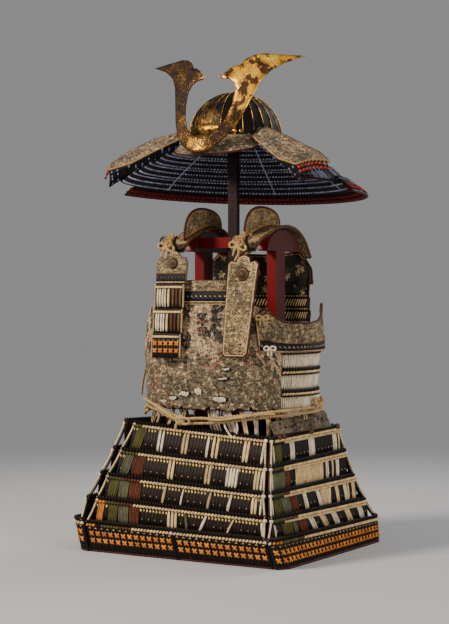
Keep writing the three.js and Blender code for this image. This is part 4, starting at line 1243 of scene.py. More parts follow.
def make_trunk():
    for index in range(4):
        trunk_lame(index)
    upper_lames()
    sheet, face, area = leather_wall(
        "front_leather_sheet", "front", ["front_leather"],
        trunk_surface(-58, 58, SHEET_TOP, 317, 4.8), 2.2,
        [("end", 1.4, "bronze"), ("top", 1.3, "piping")], sheet_tears,
        step=3.0, relief=crease_relief, ragged=sheet_foot)
    leather_wall("chest_plate_leather", "plate", ["chest_plate"],
                 trunk_surface(-33, 33, 600, 550, 4.8), 3.2,
                 [("top", 1.9, "bronze"), ("start", 1.6, "bronze"), ("end", 1.6, "bronze")],
                 studs(6, 27))
    leather_wall("back_plate_lining", "lining", [], back_surface(39, 568, (-7.6, -1.0), 4),
                 1.2, [("top", 1.2, "piping")])
    leather_wall("back_plate_leather", "plate", ["back_plate"],
                 back_surface(43, 594, (3.2, 3.2)), 3.2,
                 [("top", 2.2, "oxblood"), ("start", 2.0, "oxblood"), ("end", 2.0, "oxblood")],
                 studs(1, 16))
    leather_wall("left_armpit_leather", "plate", ["left_armpit_guard"],
                 trunk_surface(40, 127, ARMPIT_TOP, 446, 9.0), 3.2,
                 [("top", 2.3, "oxblood"), ("start", 1.8, "piping"), ("end", 2.2, "oxblood"),
                  ("foot", 1.5, "piping")], studs(3, 17), step=3.5)
    leather_wall("right_side_leather", "plate", ["right_side_plate"],
                 trunk_surface(-128, -54, side_top, 323, -12.0), 3.0,
                 [("top", 2.2, "oxblood"), ("foot", 1.6, "oxblood")], studs(3, 17))


# ------------------------------------------------------------------ chest guards

LEFT_GUARD_OUTLINE = ((-30, -196), (-24, -202), (24, -202), (30, -196), (37, -4), (30, 2),
                      (17, -2), (13, 10), (0, 15), (-13, 10), (-17, -2), (-30, 2), (-37, -4))
RIGHT_CAP_OUTLINE = ((-38, 596), (38, 596), (39, 640), (33, 651), (26, 650), (21, 654),
                     (12, 662), (2, 665), (-8, 661), (-14, 652), (-18, 642), (-24, 650),
                     (-32, 650), (-38, 640))


def left_guard_place(out, up, depth):
    fall = -up / 200
    return xyz(119 + out - 21 * fall, -158 - 3 * fall + depth, 640 + up)


def right_guard_place(out, z, depth):
    fall = (650 - z) / 220
    return xyz(-56 + out - 14 * fall, -167 - 6 * fall + depth, z)


def edge_tube(pile, outline, place, depth, radius, paint):
    """A cord along a closed outline, set in space at one depth."""
    ring = np.asarray([*outline, outline[0]], float)
    run = lengths(ring)
    at = np.arange(0, run[-1] + 2.0, 4.0)
    path = place(np.interp(at, run, ring[:, 0]), np.interp(at, run, ring[:, 1]), depth)
    bar(pile, path, 2 * radius, paint)


FRONT_AXES = np.array([(1.0, 0, 0), (0, 0, 1.0), (0, -1.0, 0)])


# The bosses' domes, one before another: how far proud, half width, half depth, paint, sides
LEFT_BOSS = ((0, 16, 3.0, "soot", 24), (1.0, 14.2, 3.2, "bronze", 24),
             (2.6, 9.4, 4.6, "brown", 20), (5.2, 5.0, 3.8, "bronze", 16))
RIGHT_BOSS = ((0, 12.5, 2.6, "soot", 20), (1.4, 10.2, 2.6, "bronze", 20),
              (3.0, 5.0, 2.6, "brown", 16))


def make_left_guard():
    pile = Pile()
    plate(pile, LEFT_GUARD_OUTLINE, 3.5, left_guard_place, 6.0, 1.4)
    pile.make("left_guard_leather", ["left_chest_guard"], "guard", "printed_leather")
    trim = Pile()
    edge_tube(trim, LEFT_GUARD_OUTLINE, left_guard_place, 1.6, 2.2, "oxblood")
    inset = [(0.93 * out, up * 0.985 - 2) for out, up in LEFT_GUARD_OUTLINE]
    edge_tube(trim, inset, left_guard_place, -0.9, 1.0, "cream")
    for out, up in ((-14, -178), (14, -178), (-14, -190), (14, -190)):
        spot = left_guard_place(out, up, -1.2)
        beads(trim, spot, (2.6, 2.6, 1.4), FRONT_AXES, "russet")
    trim.make("left_guard_trim")
    boss = Pile()
    for proud, half, deep, paint, sides in LEFT_BOSS:
        spot = left_guard_place(2.0, -26.0, -1.0 - proud)
        beads(boss, spot, (half, half, deep), FRONT_AXES, paint, 8, sides)
    boss.make("left_guard_boss", slot="gilt_copper")


RIGHT_LAMES = {"head": 594, "foot": 431}
RIGHT_LACING = ((5, 17, "white"), (18, 30, "white"), (32, 39, "cream"), (44, 51, "bronze"),
                (52, 61, "brown"), (62, 71, "bronze"))


def right_cap_face(along, down):
    return right_guard_place(mix(-38, 38, along), mix(624, 596, down), 0)


def right_lame_face(head, tall):
    return lambda along, down: right_guard_place(
        mix(-37, 37, along), mix(head, head - tall, down), 4.0 * down - 4.0)


def make_right_guard():
    pile = Pile()
    plate(pile, RIGHT_CAP_OUTLINE, 3.5, right_guard_place, 5.0, 1.2)
    pile.make("right_guard_leather", ["right_guard_cap"], "strap", "printed_leather")
    trim = Pile()
    edge_tube(trim, RIGHT_CAP_OUTLINE, right_guard_place, 1.6, 1.9, "bronze")
    face = Face(right_cap_face)
    along = np.linspace(1, face.width - 1, 30)
    mesh = np.meshgrid(along, np.linspace(8, 27, 4))
    trim.put(*shell(face.at(*mesh, 2.4), face.at(*mesh, 0.2)), "navy")
    for down, paint in ((7, "piping"), (27, "cream")):
        twisted(trim, face.at(along, down, 2.6), 1.7, 7.0, paint)
    for index in range(8):
        knob(trim, face, face.width * (index + 0.5) / 8, 17, 2.6, (2.5, 2.5, 1.4), "bronze")
    for proud, half, deep, paint, sides in RIGHT_BOSS:
        spot = right_guard_place(4.0, 638.0, -1.2 - proud)
        beads(trim, spot, (half, half, deep), FRONT_AXES, paint, 6, sides)
    trim.make("right_guard_cap_trim")

    pile = Pile()
    tall = (RIGHT_LAMES["head"] - RIGHT_LAMES["foot"]) / 3
    for step in range(3):
        face = Face(right_lame_face(RIGHT_LAMES["head"] - tall * step, tall))
        ridged(pile, face, 8.2, 1.6, 3.0, "soot", notch=1.2)
        cord_band(pile, face, 7.5, 3.0, 1.4)
        if step < 2:
            laces(pile, face, RIGHT_LACING, 11.5, face.height - 3, 6.6, 1.2)
        else:
            for down in (22, 38):
                crosses(pile, face, down, 14.0, "orange", (10.5, 10.0), 2, face.width - 2)
            dots(pile, face, 15.5, 12.0, (2.4, 1.2, 1.0), "tan")
        edge_cord(pile, face, 0.6, "tan", 2.2)
        edge_cord(pile, face, face.width - 0.6, "tan", 2.2)
    pile.make("right_guard_rows", ["right_guard_lames"])


# ------------------------------------------------------------------ shoulder straps

STRAP_LINE = ((-101, 668), (-78, 690), (-42, 704), (-4, 717), (42, 723), (84, 715),
              (118, 692), (142, 655))
STRAP = {"middle": 92, "splay": 7, "width": 46, "thick": 5}
WING = {"inset": 13, "from": -84, "to": 74, "top": 765, "thick": 3, "clear": 1.2, "end": 2,
        "full": 0.75, "line": 735}


def strap_point(side, across, along, lift):
    line = smooth_path([(0, y, z) for y, z in STRAP_LINE], 3.0)
    share = lengths(line) / lengths(line)[-1]
    way = unit(np.gradient(line, axis=0))
    y, z, wy, wz = (np.interp(along, share, values)
                    for values in (line[:, 1], line[:, 2], way[:, 1], way[:, 2]))
    x = side * (STRAP["middle"] + STRAP["splay"] * along ** 2 + across * STRAP["width"] / 2)
    return xyz(x, y - wz * lift, z + wy * lift)


def strap_top(y):
    along = np.linspace(0, 1, 200)
    top = strap_point(1, 0, along, STRAP["thick"] / 2)
    return np.interp(y, top[:, 1], top[:, 2])


def wing_outline():
    start, end = WING["from"], WING["to"]
    turn = np.linspace(0, np.pi, 25)
    out = (start + end) / 2 - (end - start) / 2 * np.cos(turn)
    up = mix(strap_top(out) + WING["clear"] + WING["end"], WING["top"],
             np.sin(turn) ** WING["full"])
    foot = np.linspace(end, start, 10)[1:-1]
    return np.vstack([np.column_stack([out, up]),
                      np.column_stack([foot, strap_top(foot) + WING["clear"]])])


def strap_studs(pile, face):
    for along in (14, 96, 178, 248):
        for down in (10, 36):
            knob(pile, face, along, down, 0.6, (2.8, 2.8, 1.6), "bronze")


def make_strap(side, label):
    def surface(along, down):
        return strap_point(side, 2 * down - 1, along, STRAP["thick"] / 2)

    def place(out, up, depth):
        return xyz(side * (STRAP["middle"] - WING["inset"] - depth), out, up)

    leather_wall(f"{label}_strap_leather", "strap", [f"{label}_shoulder_strap"], surface,
                 STRAP["thick"], [("top", 3.2, "bronze"), ("foot", 3.2, "bronze"),
                                  ("start", 4.6, "bronze"), ("end", 3.0, "bronze")],
                 strap_studs, side)
    outline = wing_outline()
    pile = Pile()
    plate(pile, outline, WING["thick"], place, 6.0, 0.8)
    pile.make(f"{label}_wing_leather", [f"{label}_strap_wing"], "strap", "printed_leather")
    trim = Pile()
    edge_tube(trim, outline, place, 1.5, 2.6, "oxblood")
    middle = np.array([(WING["from"] + WING["to"]) / 2, WING["line"]])
    for depth in (-0.4, 3.4):
        edge_tube(trim, middle + (outline - middle) * (0.92, 0.84), place, depth, 1.2, "piping")
    trim.make(f"{label}_wing_trim")


CURL_LINE = ((0, -99, 673), (0, -113, 669), (0, -125, 673), (0, -130, 685), (0, -124, 696),
             (0, -112, 694))


def make_curl(side, label):
    """The rolled-up leather end at the front of a shoulder strap."""
    line = smooth_path(CURL_LINE, 2.0)
    run = np.linspace(0, 1, len(line))

    def surface(along, down):
        x = side * STRAP["middle"] + mix(-1, 1, along) * mix(22, 17, down)
        return xyz(x, np.interp(down, run, line[:, 1]), np.interp(down, run, line[:, 2]))

    leather_wall(f"{label}_strap_curl", "strap", [], surface, 3.0,
                 [("foot", 2.6, "soot"), ("start", 2.6, "soot"), ("end", 2.6, "soot")],
                 step=3.0)


BOW_LOOP = ((0, 0, 0), (0.5, 0.35, 0.12), (1.0, 0.15, 0.2), (0.95, -0.3, 0.22),
            (0.45, -0.3, 0.2), (0, 0, 0.1))
BOW_END = ((0, 0, 0.1), (0.25, -0.5, 0.25), (0.35, -1.3, 0.1))


def bow(pile, centre, across, up, size, radius, paint):
    """Two loops and two hanging ends tied at centre."""
    axes = np.array([across, up, unit(np.cross(across, up))])
    for way in (-1, 1):
        for line, thick in ((BOW_LOOP, radius), (BOW_END, radius * 0.9)):
            tube(pile, centre + size * np.array(line) * (way, 1, 1) @ axes, thick, paint, 3.0)
    beads(pile, centre + 0.12 * size * axes[2], radius * np.array((2.0, 1.7, 1.7)), axes,
          paint, 6, 10)


# The cords and toggles of a strap, from its middle line: route, radius, paint, step and sides
STRAP_CORDS = (
    (((-9, -103, 668), (-9, -128, 650), (-12, -141, 622), (-14, -146, 598)), 2.1, "tan", 4, 8),
    (((9, -103, 668), (8, -130, 648), (4, -142, 620), (0, -147, 598)), 2.1, "tan", 4, 8),
    (((20, -112, 700), (6, -136, 686), (-12, -138, 666)), 4.0, "piping", 3, 8),
    (((-16, -103, 664), (-2, -116, 660), (14, -104, 664)), 4.0, "bronze", 3, 10),
)


def make_fastenings():
    """Cords and toggles that tie the shoulder straps to the chest plate and the guards."""
    pile = Pile()
    for side in (-1, 1):
        x = side * STRAP["middle"]
        for route, *look in STRAP_CORDS:
            tube(pile, np.array(route) + (x, 0, 0), *look)
        bow(pile, (x + 2, -138, 674), (1, 0.15, -0.25), (0.1, 0.3, 1), 18, 2.6, "rope")
        bow(pile, (x + 8, -132, 694), (0.8, -0.3, 0.45), (-0.3, 0.3, 1), 14, 3.4, "piping")
    bow(pile, trunk_point(42, 521, 15), (0.9, 0.4, 0), (0, 0, 1), 13, 2.4, "tan")
    toggle = trunk_point(46, 519, 17)
    tube(pile, [toggle + (-15, -6, 1), toggle, toggle + (13, 6, -1)], 3.4, "piping", 3.0)
    bow(pile, trunk_point(47, 455, 15), (0.8, 0.6, 0), (0, 0, 1), 12, 2.0, "white")
    tube(pile, [trunk_point(38, 525, 8), trunk_point(39, 490, 9), trunk_point(40, 462, 11)],
         1.9, "tan", 4.0)
    for angle in (150, 210):
        low = trunk_point(angle, 628, 8)
        high = strap_point(1 if angle < 180 else -1, 0, 0.98, 5)
        tube(pile, [low, (low + high) / 2 + (0, 6, 0), high], 2.1, "tan", 4.0)
    pile.make("fastening_cords", slot="hemp_cord")


# ------------------------------------------------------------------ ropes and hanging lacing

# How far the rope hangs from its level line: angles from the front, then heights
ROPE_SAG = ((-60, -46, -29, -19, -12, -6, 2, 11, 26, 48, 75, 98, 120, 140),
            (0, 14, 10, 0, -8, -13, -11, -8, -3, 2, 0, -4, 4, 0))
ROPE = {"radius": 4, "out": 10, "z": 312, "rise": 16, "pitch": -9.5, "from": -46, "turns": 2}


# Cords over the rope at the front: (angle, height, how far out) along each
ROPE_CORDS = (
    ((-58, 334, 12), (-46, 334, 13), (-29, 323, 14), (-19, 311, 15), (-12, 300, 16),
     (-6, 294, 17)),
    ((-8, 297, 16), (3, 302, 16), (12, 299, 15), (24, 305, 15), (38, 312, 15), (52, 313, 14)),
)


def make_ropes():
    share = np.linspace(0, ROPE["turns"], 161)
    angle = ROPE["from"] + 360 * share
    path = trunk_point(angle, TRUNK_FOOT, ROPE["out"])
    path[:, 2] = ROPE["z"] + ROPE["rise"] * (1 - np.cos(np.radians(angle)))
    path[:, 2] += ROPE["pitch"] * share + np.interp((angle + 180) % 360 - 180, *ROPE_SAG)
    pile = Pile()
    twisted(pile, smooth_path(path, 4.0), ROPE["radius"] * 1.08, 15.0, "rope", 12)
    ring = np.linspace(0, 2 * np.pi, 9)
    knot = trunk_point(-7, 296, 15)
    for size, turn in ((12.0, 0.0), (9.5, 1.1), (10.0, 2.2)):
        loop = xyz(size * np.cos(ring + turn) * 0.8, -3 - 2.6 * np.sin(2 * ring),
                   size * np.sin(ring) * 0.72)
        tube(pile, knot + loop, 3.3, "rope", 3.0)
    tube(pile, [knot, knot + (6, -6, 5), knot + (21, -6, 3), knot + (23, -5, -6),
                knot + (9, -6, -8), knot], 2.7, "rope", 3.0)
    tube(pile, [knot, knot + (-10, -4, -10), knot + (-14, -4, -25)], 2.9, "rope", 3.0)
    for route in ROPE_CORDS:
        tube(pile, [trunk_point(angle, 330, out) * (1, 1, 0) + (0, 0, z)
                    for angle, z, out in route], 3.0, "rope", 4.0, 10)
    end = trunk_point(92, 334, 15)
    for size in (6.5, 8.0):
        loop = xyz(3.0 * np.sin(2 * ring), size * np.cos(ring), size * np.sin(ring))
        tube(pile, end + loop, 2.8, "rope", 3.0)
    pile.make("waist_rope_twisted", ["waist_rope"], slot="hemp_cord")


def rounded(value):
    """A sine or cosine made fuller, for a ring between a circle and a square."""
    return np.sign(value) * abs(value) ** 0.5


def hanging_laces(pile, angle, count, spread, paint, lean, width=4.2, low=262):
    """A bundle of laces from inside the trunk's foot down to the top of the skirt."""
    share = np.linspace(0, 1, 6)[:, None]
    for index in range(count):
        at = angle + spread * (index + 0.5) / count - spread / 2
        top = trunk_point(at, TRUNK_FOOT, -12)
        top[2] += 8
        turn = math.radians(at + lean)
        foot = np.array((172 * rounded(math.sin(turn)), 8 - 146 * rounded(math.cos(turn)), low))
        away = np.full((6, 3), (math.sin(turn), -math.cos(turn), 0.0))
        sag = random.uniform(-1.5, 3.5)
        path = mix(top, foot, share) + np.sin(np.pi * share) * away * sag
        ribbon(pile, path, np.cross(away, (0, 0, 1.0)), away, width, 2.0, tinted(paint, 0.14))


FRONT_BUNDLES = ((-47, 3, 4, "tan"), (-35, 2, 3, "tan"), (-19, 3, 4, "tan"), (-9, 2, 3, "tan"),
                 (5, 4, 5, "white"), (15, 5, 6, "white"), (27, 3, 4, "cream"),
                 (38, 3, 4, "white"))                   # angle, laces, spread, paint


def make_hanging_lacing():
    pile = Pile()
    for bundle in FRONT_BUNDLES:
        hanging_laces(pile, *bundle, random.uniform(-2, 2))
    for angle in np.arange(50, 305, 9.5):
        paint = random.choice(["cream", "tan", "white", "sage"])
        hanging_laces(pile, angle, random.choice([2, 3, 4]), 5, paint, random.uniform(-4, 4))
    for start, lean in ((-58, 5), (-55, 9), (-51, -3), (-60, 13)):
        hanging_laces(pile, start, 1, 1, "tan", lean, 1.6, 270)
    tube(pile, [(60, -146, 300), (72, -152, 280), (88, -150, 262), (97, -146, 278),
                (92, -144, 300)], 2.0, "white", 4.0)
    pile.make("skirt_hanging_laces", ["skirt_hanging_lacing"], slot="silk_lacing")


STRIP_CUT = 37                       # height the leather strip was cut to


def strip_surface(along, down):
    end = np.maximum(np.abs(2 * along - 1) - 0.8, 0) / 0.2
    end = np.where(along < 0.5, 0.35 * end, end)
    head = mix(298, 308, along) - 10 * end ** 2
    return xyz(mix(177, 188, down) - 2 * end ** 2, mix(-144, 122, along), mix(head, 271, down))


def strip_relief(along, down):
    return 0.8 * np.sin(along / 9.0) * np.sin(down / 8.0 + 1)


def strip_stains(pile, face):
    for along in np.arange(40, 250, 19):
        knob(pile, face, along + random.uniform(-5, 5), random.uniform(6, 26), 0.6,
             (random.uniform(2, 7), random.uniform(2, 4), 0.7), "soot")


def make_strip():
    """The worn leather strip over the head of the left skirt panel, and the knots by it."""
    knots = Pile()
    row = Face(skirt_surface("left", 0))
    for along, size in ((34, 6.0), (56, 5.4), (176, 6.8), (309, 7.0)):
        knob(knots, row, along, 5.0, 3.4, (size, size, size * 0.8), "bronze", 7, 10)
        knob(knots, row, along, 5.0, 5.2, (size * 0.5, size, size * 0.6), "brown", 5)
    knots.make("left_skirt_knots", slot="hemp_cord")
    piece, face, area = leather_wall(
        "left_skirt_leather_strip", "worn", ["left_skirt_leather"], strip_surface, 2.2,
        [("top", 1.3, "brown"), ("foot", 1.2, "brown")], strip_stains,
        relief=strip_relief, slot="worn_leather")
    size = (face.width * MM, STRIP_CUT * MM)


TAIL_ROUTE = ((-0.192, -0.062, 0.428), (-0.194, -0.062, 0.412), (-0.198, -0.062, 0.394),
              (-0.203, -0.061, 0.376), (-0.206, -0.061, 0.358), (-0.208, -0.061, 0.340))
TAIL_WIDTH = 0.007


def make_strap_end():
    path = smooth_path(np.array(TAIL_ROUTE) / MM, 4.0)
    way = unit(np.gradient(path, axis=0))
    side = np.full_like(path, (0, 1, 0))
    pile = Pile()
    ribbon(pile, path, side, np.cross(side, way), TAIL_WIDTH / MM, 3.0, "rope")
    piece = pile.make("waist_strap_tail", ["waist_strap_end"], slot="hemp_cord")
    lengths(path)[-1] * MM


# ------------------------------------------------------------------ helmet

BOWL = {"y": 11, "wide": 103, "long": 113, "rim": 917, "crown": 1026, "wall": 2.5, "band": 6}
BOWL_RIDGES = 26


def bowl_point(angle, lift, out=0.0):
    """Point of the bowl at an angle from the front and a lift of 0 at its band to 90."""
    turn, rise = np.radians(angle), np.radians(lift)
    ring = np.cos(rise)
    tall = BOWL["crown"] - BOWL["rim"] - BOWL["band"]
    return xyz((BOWL["wide"] + out) * ring * np.sin(turn),
               BOWL["y"] - (BOWL["long"] + out) * ring * np.cos(turn),
               BOWL["rim"] + BOWL["band"] + (tall + out) * np.sin(rise))


def bowl_wear(points):
    """Gilding is left on the front of the bowl, more to the wearer's right."""
    x, y = points[:, 0], points[:, 1]
    front = np.clip((50 - x) / 70, 0, 1) * np.clip((-10 - y) / 60, 0, 1)
    return 0.25 - 0.32 * front


BOWL_LIFTS = np.array([84, 76, 66, 55, 43, 31, 18, 6, 0])
BOWL_MIDDLE = np.array([0, BOWL["y"], 940])


def make_bowl():
    pile = Pile()
    angle = np.arange(BOWL_RIDGES * 4) * 90 / BOWL_RIDGES
    ridge = np.tile([1.5, 0.35, 0.0, 0.35], BOWL_RIDGES) * 0.8
    lifts = BOWL_LIFTS[:, None]
    outer = bowl_point(angle, lifts, ridge * np.cos(np.radians(lifts)) - 0.6)
    inner = bowl_point(angle, lifts, -BOWL["wall"])
    walls = [np.concatenate([wall, wall[-1:] * (1, 1, 0) + (0, 0, BOWL["rim"])])
             for wall in (outer, inner)]
    pile.put(*shell(*walls, True))
    pile.make("helmet_bowl_plates", ["helmet_bowl_left", "helmet_bowl_right"], "iron",
              "black_iron", bowl_wear)
    gilt = Pile()
    lift = np.linspace(2, 82, 18)
    for index in range(BOWL_RIDGES):
        bar(gilt, bowl_point(360 * index / BOWL_RIDGES, lift, 0.55), 1.3, "black", 6, 1.4,
            0.55 + 0.45 * np.cos(np.radians(lift)))
    ring = np.linspace(0, 2 * np.pi, 33)
    for size, z, thick in ((17, 1023.6, 1.6), (12.5, 1025.0, 1.5), (9, 1026.4, 1.3)):
        tube(gilt, xyz(size * np.sin(ring), BOWL["y"] - size * np.cos(ring), z), thick, "tan",
             3.0)
    gilt.make("helmet_gilt_ridges", (), "gilt", "gilt_copper", 0.0)
    front = Pile()
    angle = np.linspace(-33, 33, 25)
    top = bowl_point(angle, 1 + 13 * np.cos(np.radians(angle * 1.9)) ** 0.5, 1.9)
    foot = bowl_point(angle, 1, 1.9)
    middle = (top + foot) / 2 + unit(foot - BOWL_MIDDLE) * 1.6
    outer = np.array([top, middle, foot])
    front.put(*shell(outer, outer - unit(outer - BOWL_MIDDLE) * 1.6))
    for angle in np.linspace(-26, 26, 7):
        spot = bowl_point(angle, 6, 2.4)
        away = unit(spot - BOWL_MIDDLE)
        side = unit(np.cross(away, (0, 0, 1)))
        beads(front, spot, (2.6, 2.6, 2.2), (side, np.cross(side, away), away), "tan", 5, 10)
    for angle, half in ((24, 5.0), (31, 6.0), (38, 4.6)):
        beads(front, bowl_point(angle, 3, 6), (half, half, 3.4), FRONT_AXES, "tan", 6, 12)
    front.make("helmet_brow_plate", (), "gilt", "gilt_copper", 0.11)


def peak_surface(along, down):
    angle = mix(-54, 54, along)
    turn = np.radians(angle)
    out = 3.8 + 38 * np.cos(turn * 0.75) * down
    drop = 41 * np.cos(turn * 1.05)
    down = np.maximum(down, 0)
    return xyz((BOWL["wide"] + out) * np.sin(turn),
               BOWL["y"] - (BOWL["long"] + out) * np.cos(turn),
               BOWL["rim"] + 6 - (drop + 6) * down ** 1.2)


NECK_LINES = ((107.5, 117.5, 921), (148, 156, 892), (186, 190, 869), (224, 226, 844),
              (262, 263, 817), (298, 298, 789))


def neck_point(angle, wide, long, z):
    share = (long - BOWL["long"]) / (NECK_LINES[5][1] - BOWL["long"])
    turn = np.radians(angle)
    tilt = 12 * (1 + np.cos(turn)) - 4 * np.sin(turn)
    return xyz(wide * np.sin(turn), BOWL["y"] - long * np.cos(turn), z + share * tilt)


def neck_surface(row):
    upper, lower = NECK_LINES[row], NECK_LINES[row + 1]
    last = row == 4
    end = 88 if last else 59
    rise = 6 if row else 0

    def surface(along, down):
        return neck_point(mix(end, 360 - end, along), mix(upper[0] - rise, lower[0], down),
                          mix(upper[1] - rise, lower[1], down),
                          mix(upper[2] + rise, lower[2] - (0 if last else 7), down))

    return surface


def make_neck_guard():
    for row in range(5):
        pile = Pile()
        outer = Face(neck_surface(row), line=0.7)
        inner = Face(neck_surface(row), side=-1, line=0.7)
        ridged(pile, outer, 9.0, 1.4, 3.0, "pitch", notch=0.8, valley="pitch")
        spans = [(a, a + 14, random.choice(["slate", "black", "black", "navy"]))
                 for a in np.arange(4, outer.width - 18, 16)]
        laces(pile, outer, spans, 10, outer.height - 2, LACE, 0.8)
        dots(pile, outer, 3.5, 9.0, (3.2, 4.0, 2.0), "black", 1.0)
        braid(pile, outer, 10.0, [(math.inf, "slate")], (4.6, 2.0, 1.8), 1.4, 0.4, 9.0)
        for down in (8.0, outer.height * 0.36, outer.height * 0.62, outer.height - 6.0):
            if row == 4 and down > 19:
                continue
            along = scale_places(inner, 8.0)
            leaning(pile, inner, along, down, 3.8, (3.0, 2.7, 2.5), -0.35,
                    tints("pale_blue", 0.35, len(along)), 3)
        if row == 4:
            for down in (outer.height - 9, outer.height - 21):
                crosses(pile, inner, down, 12.0, "crimson", (8.0, 9.0), out=4.6)
                crosses(pile, outer, down, 12.0, "crimson", (8.0, 9.0), out=1.8)
            rim = np.linspace(0.5, outer.width - 0.5, 140)
            bar(pile, outer.at(rim, outer.height - 0.5, -1.5), 5.0)
        if row == 3:
            for down in (inner.height - 7, inner.height - 19):
                crosses(pile, inner, down, 9.0, "red", (8.0, 8.0), 2, 88, 4.6)
        pile.make(f"neck_guard_row_{row + 1}", [f"neck_guard_lame_{row + 1}"])
    cords = Pile()
    for angle in (138, 189, 250):
        tube(cords, [neck_point(angle, wide - 5, long - 5, z - 8)
                     for wide, long, z in NECK_LINES[:5]], 1.1, "pale_blue", sides=6)
    cords.make("neck_guard_inner_cords", slot="silk_lacing")


# The flaps from head to foot: angle, radius and height of the fold, then of the free edge
TURNBACK = ((46, 129, 918, 62, 136, 934), (50, 186, 884, 66, 190, 910),
            (53, 240, 850, 73, 268, 866), (57, 287, 832, 74, 292, 844))


def flap_lines(down):
    return [np.interp(down * 3, range(4), column) for column in zip(*TURNBACK)]


def turnback_surface(side):
    def surface(along, down):
        fold, fold_radius, fold_z, free, free_radius, free_z = flap_lines(down)
        spot = mix(neck_point(side * fold, fold_radius, fold_radius, fold_z),
                   neck_point(side * free, free_radius, free_radius, free_z),
                   along[..., None])
        lift = 14 * down * along if side < 0 else 0
        spot[..., 2] += lift + 6 * np.sin(np.pi * along)
        return spot

    return surface


def make_turnback(side, label):
    surface = turnback_surface(side)
    leather_wall(f"helmet_{label}_turnback_leather", "helmet", [f"helmet_{label}_turnback"],
                 surface, 3.2, [("start", 2.0, "piping"), ("end", 2.2, "bronze"),
                                ("foot", 2.6, "piping")], side=side, step=5.0)
    pile = Pile()
    face = Face(surface, side)
    along = np.arange(3.0, face.width - 2, 6.4)
    spot, across, fall, _ = face.basis(along, face.height - 1.0)
    hang = unit(fall * 0.5 + (0, 0, -1.0))
    outward = unit(np.cross(across, hang))
    outward *= np.sign((outward * spot * (1, 1, 0)).sum(1))[:, None]
    for row, paint in enumerate(("black", "red", "navy", "red", "black")):
        beads(pile, spot + hang * (3.5 + 5.0 * row), (3.4, 3.0, 2.6), (across, hang, outward),
              tints(paint, 0.2, len(along)), 5, 8)
    fold_lacing(pile, side)
    pile.make(f"helmet_{label}_turnback_lacing", slot="silk_lacing")


def fold_lacing(pile, side):
    """The curved front ends of the upper lames, between the cone and the turned-back flap."""
    radii, _, heights = zip(*NECK_LINES)

    def surface(along, down):
        fold, radius, fold_z = flap_lines(down)[:3]
        cone_z = np.interp(radius, radii, heights) - 5
        spot = mix(neck_point(side * fold, radius, radius, fold_z - 3),
                   neck_point(side * 61, radius, radius, cone_z), along[..., None])
        turn = np.radians(fold)
        away = unit(xyz(side * np.sin(turn) * -0.6, -np.cos(turn), 0))
        return spot + away * 9 * np.sin(np.pi * along)[..., None]

    face = Face(surface, -side)
    mesh = np.meshgrid(np.linspace(0, face.width, 9), np.linspace(0, face.height, 24))
    pile.put(*shell(face.at(*mesh), face.at(*mesh, -2.5)), "pitch")
    along = scale_places(face, 7.0)
    for row in range(11):
        spot, *axes = face.basis(along, face.height * (row + 0.5) / 11)
        colours = [tinted(random.choice(("slate", "navy", "slate", "black")), 0.3)
                   for _ in along]
        beads(pile, spot + 0.8 * axes[-1], (3.2, 2.4, 1.7), axes, colours)


def peak_rivets(pile, face):
    for along in np.linspace(14, face.width - 14, 7):
        knob(pile, face, along, 4.0, 0.8, (2.4, 2.4, 1.6), "piping", 5)


def make_peak():
    leather_wall("helmet_peak_leather", "helmet", ["helmet_peak"], peak_surface, 3.0,
                 [("foot", 2.4, "oxblood"), ("start", 2.0, "oxblood"),
                  ("end", 2.0, "oxblood")], peak_rivets)


# ------------------------------------------------------------------ crest

CREST = {"y": -160, "z": 880, "sweep": 18, "lean": 21, "thick": 1.6, "middle": 26, "notch": 37}
CREST_HALF = ((26, 4), (51, 21), (70, 43), (87, 76), (101, 120), (116, 166), (133, 192),
              (162, 211), (207, 226), (150, 232), (112, 236), (90, 233), (74, 224), (64, 210),
              (54, 209), (40, 201), (29, 190), (24, 178), (42, 176), (57, 167), (65, 150),
              (64, 118), (56, 84), (42, 58), (22, 42))


CREST_WIRE = ((25, 184, -1), (22, 180, -5), (20, 184, -1), (22, 189, 3), (25, 184, -1))


def crest_place(out, up, depth):
    swept, lean = math.radians(CREST["sweep"]), math.radians(CREST["lean"])
    bent = np.hypot(out, CREST["middle"]) - CREST["middle"]
    return xyz(out * math.cos(swept), CREST["y"] + bent * math.sin(swept)
               + up * math.sin(lean) + depth * math.cos(lean),
               CREST["z"] + up * math.cos(lean) - depth * math.sin(lean))


def crest_wear(points):
    """The wearer's right antler has lost its gilding; the left one keeps most of it."""
    x, z = points[:, 0], points[:, 2]
    right = np.clip((-x - 10) / 30, 0, 1) * np.clip((z - 935) / 30, 0, 1)
    foot = np.clip((985 - z) / 50, 0, 1) * (1 - right)
    left = np.clip((x - 20) / 40, 0, 1) * np.clip((z - 960) / 30, 0, 1)
    return 0.225 * right + 0.17 * foot + 0.025 * left + 0.02


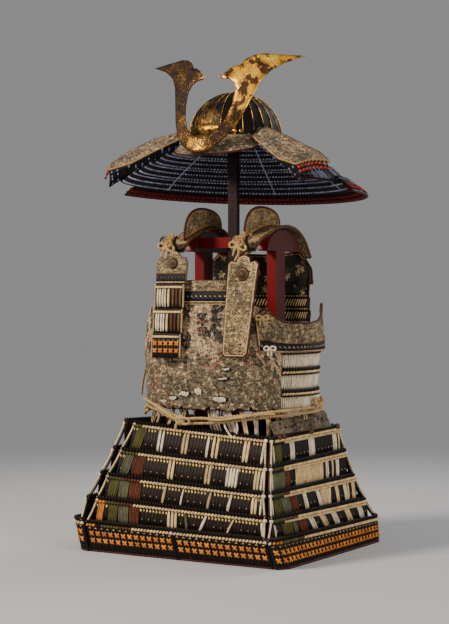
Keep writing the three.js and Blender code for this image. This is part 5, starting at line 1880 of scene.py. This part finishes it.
def make_crest():
    mirrored = [(-out, up) for out, up in CREST_HALF][::-1]
    outline = [(0, 0), *CREST_HALF, (0, CREST["notch"]), *mirrored]
    pile = Pile()
    plate(pile, outline, CREST["thick"], crest_place, 7.0, 0.7)
    prong = np.linspace((0, -150, 905), (0, -104, 930), 3)
    side = np.full((3, 3), (1.0, 0, 0))
    ribbon(pile, prong, side, np.cross(side, unit(prong[2] - prong[0])), 20, 3.4, "tan")
    pile.make("helmet_crest_gilt", ["helmet_crest"], "gilt", "gilt_copper", crest_wear)
    knots, trim = Pile(), Pile()
    for side in (-1, 1):
        for angle, radius, z in ((58, 122, 931), (66, 123, 934), (74, 121, 931)):
            spot = neck_point(side * angle, radius - 6, radius - 4, z)
            beads(knots, spot, (7.5, 7.5, 6.0), FRONT_AXES, "bronze", 7, 10)
        tube(trim, [crest_place(side * out, up, depth) for out, up, depth in CREST_WIRE],
             0.8, "tan", 2.0, 6)
    knots.make("helmet_flap_knots", slot="silk_lacing")
    trim.make("helmet_crest_wires", (), "gilt", "gilt_copper", 0.0)


# ------------------------------------------------------------------ stand

STAND = ("stand_base", "stand_left_side", "stand_right_side", "stand_cross_arm", "stand_pole")


def make_stand():
    """The stand keeps its own solids, with softened edges and lacquer."""
    for name in STAND:
        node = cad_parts[name]
        bevel = node.modifiers.new("soft edges", "BEVEL")
        bevel.width = 0.0016
        bevel.segments = 2
        bevel.limit_method = "ANGLE"
        for slot in node.material_slots:
            # the pole takes the lacquer darkened with painted shade
            slot.material = MATERIALS["dark_and_shaded_lacquer" if name == "stand_pole" else "lacquer"]
    # The pole's holes are painted shade: black discs on its face, with no hole cut.
    holes = Pile()
    for z in range(760, 1000, 20):
        tube(holes, [(0, -4.8, z), (0, -4.3, z)], 2.2, "black", 0.4)
    holes.make("stand_pole_hole_shadows", slot="red_lacquer")


make_camera()
make_studio()
make_skirt()
make_trunk()
make_left_guard()
make_right_guard()
for strap_side, strap_label in ((1, "left"), (-1, "right")):
    make_strap(strap_side, strap_label)
    make_curl(strap_side, strap_label)
    make_turnback(strap_side, strap_label)
make_fastenings()
make_ropes()
make_hanging_lacing()
make_strip()
make_strap_end()
make_bowl()
make_peak()
make_neck_guard()
make_crest()
make_stand()
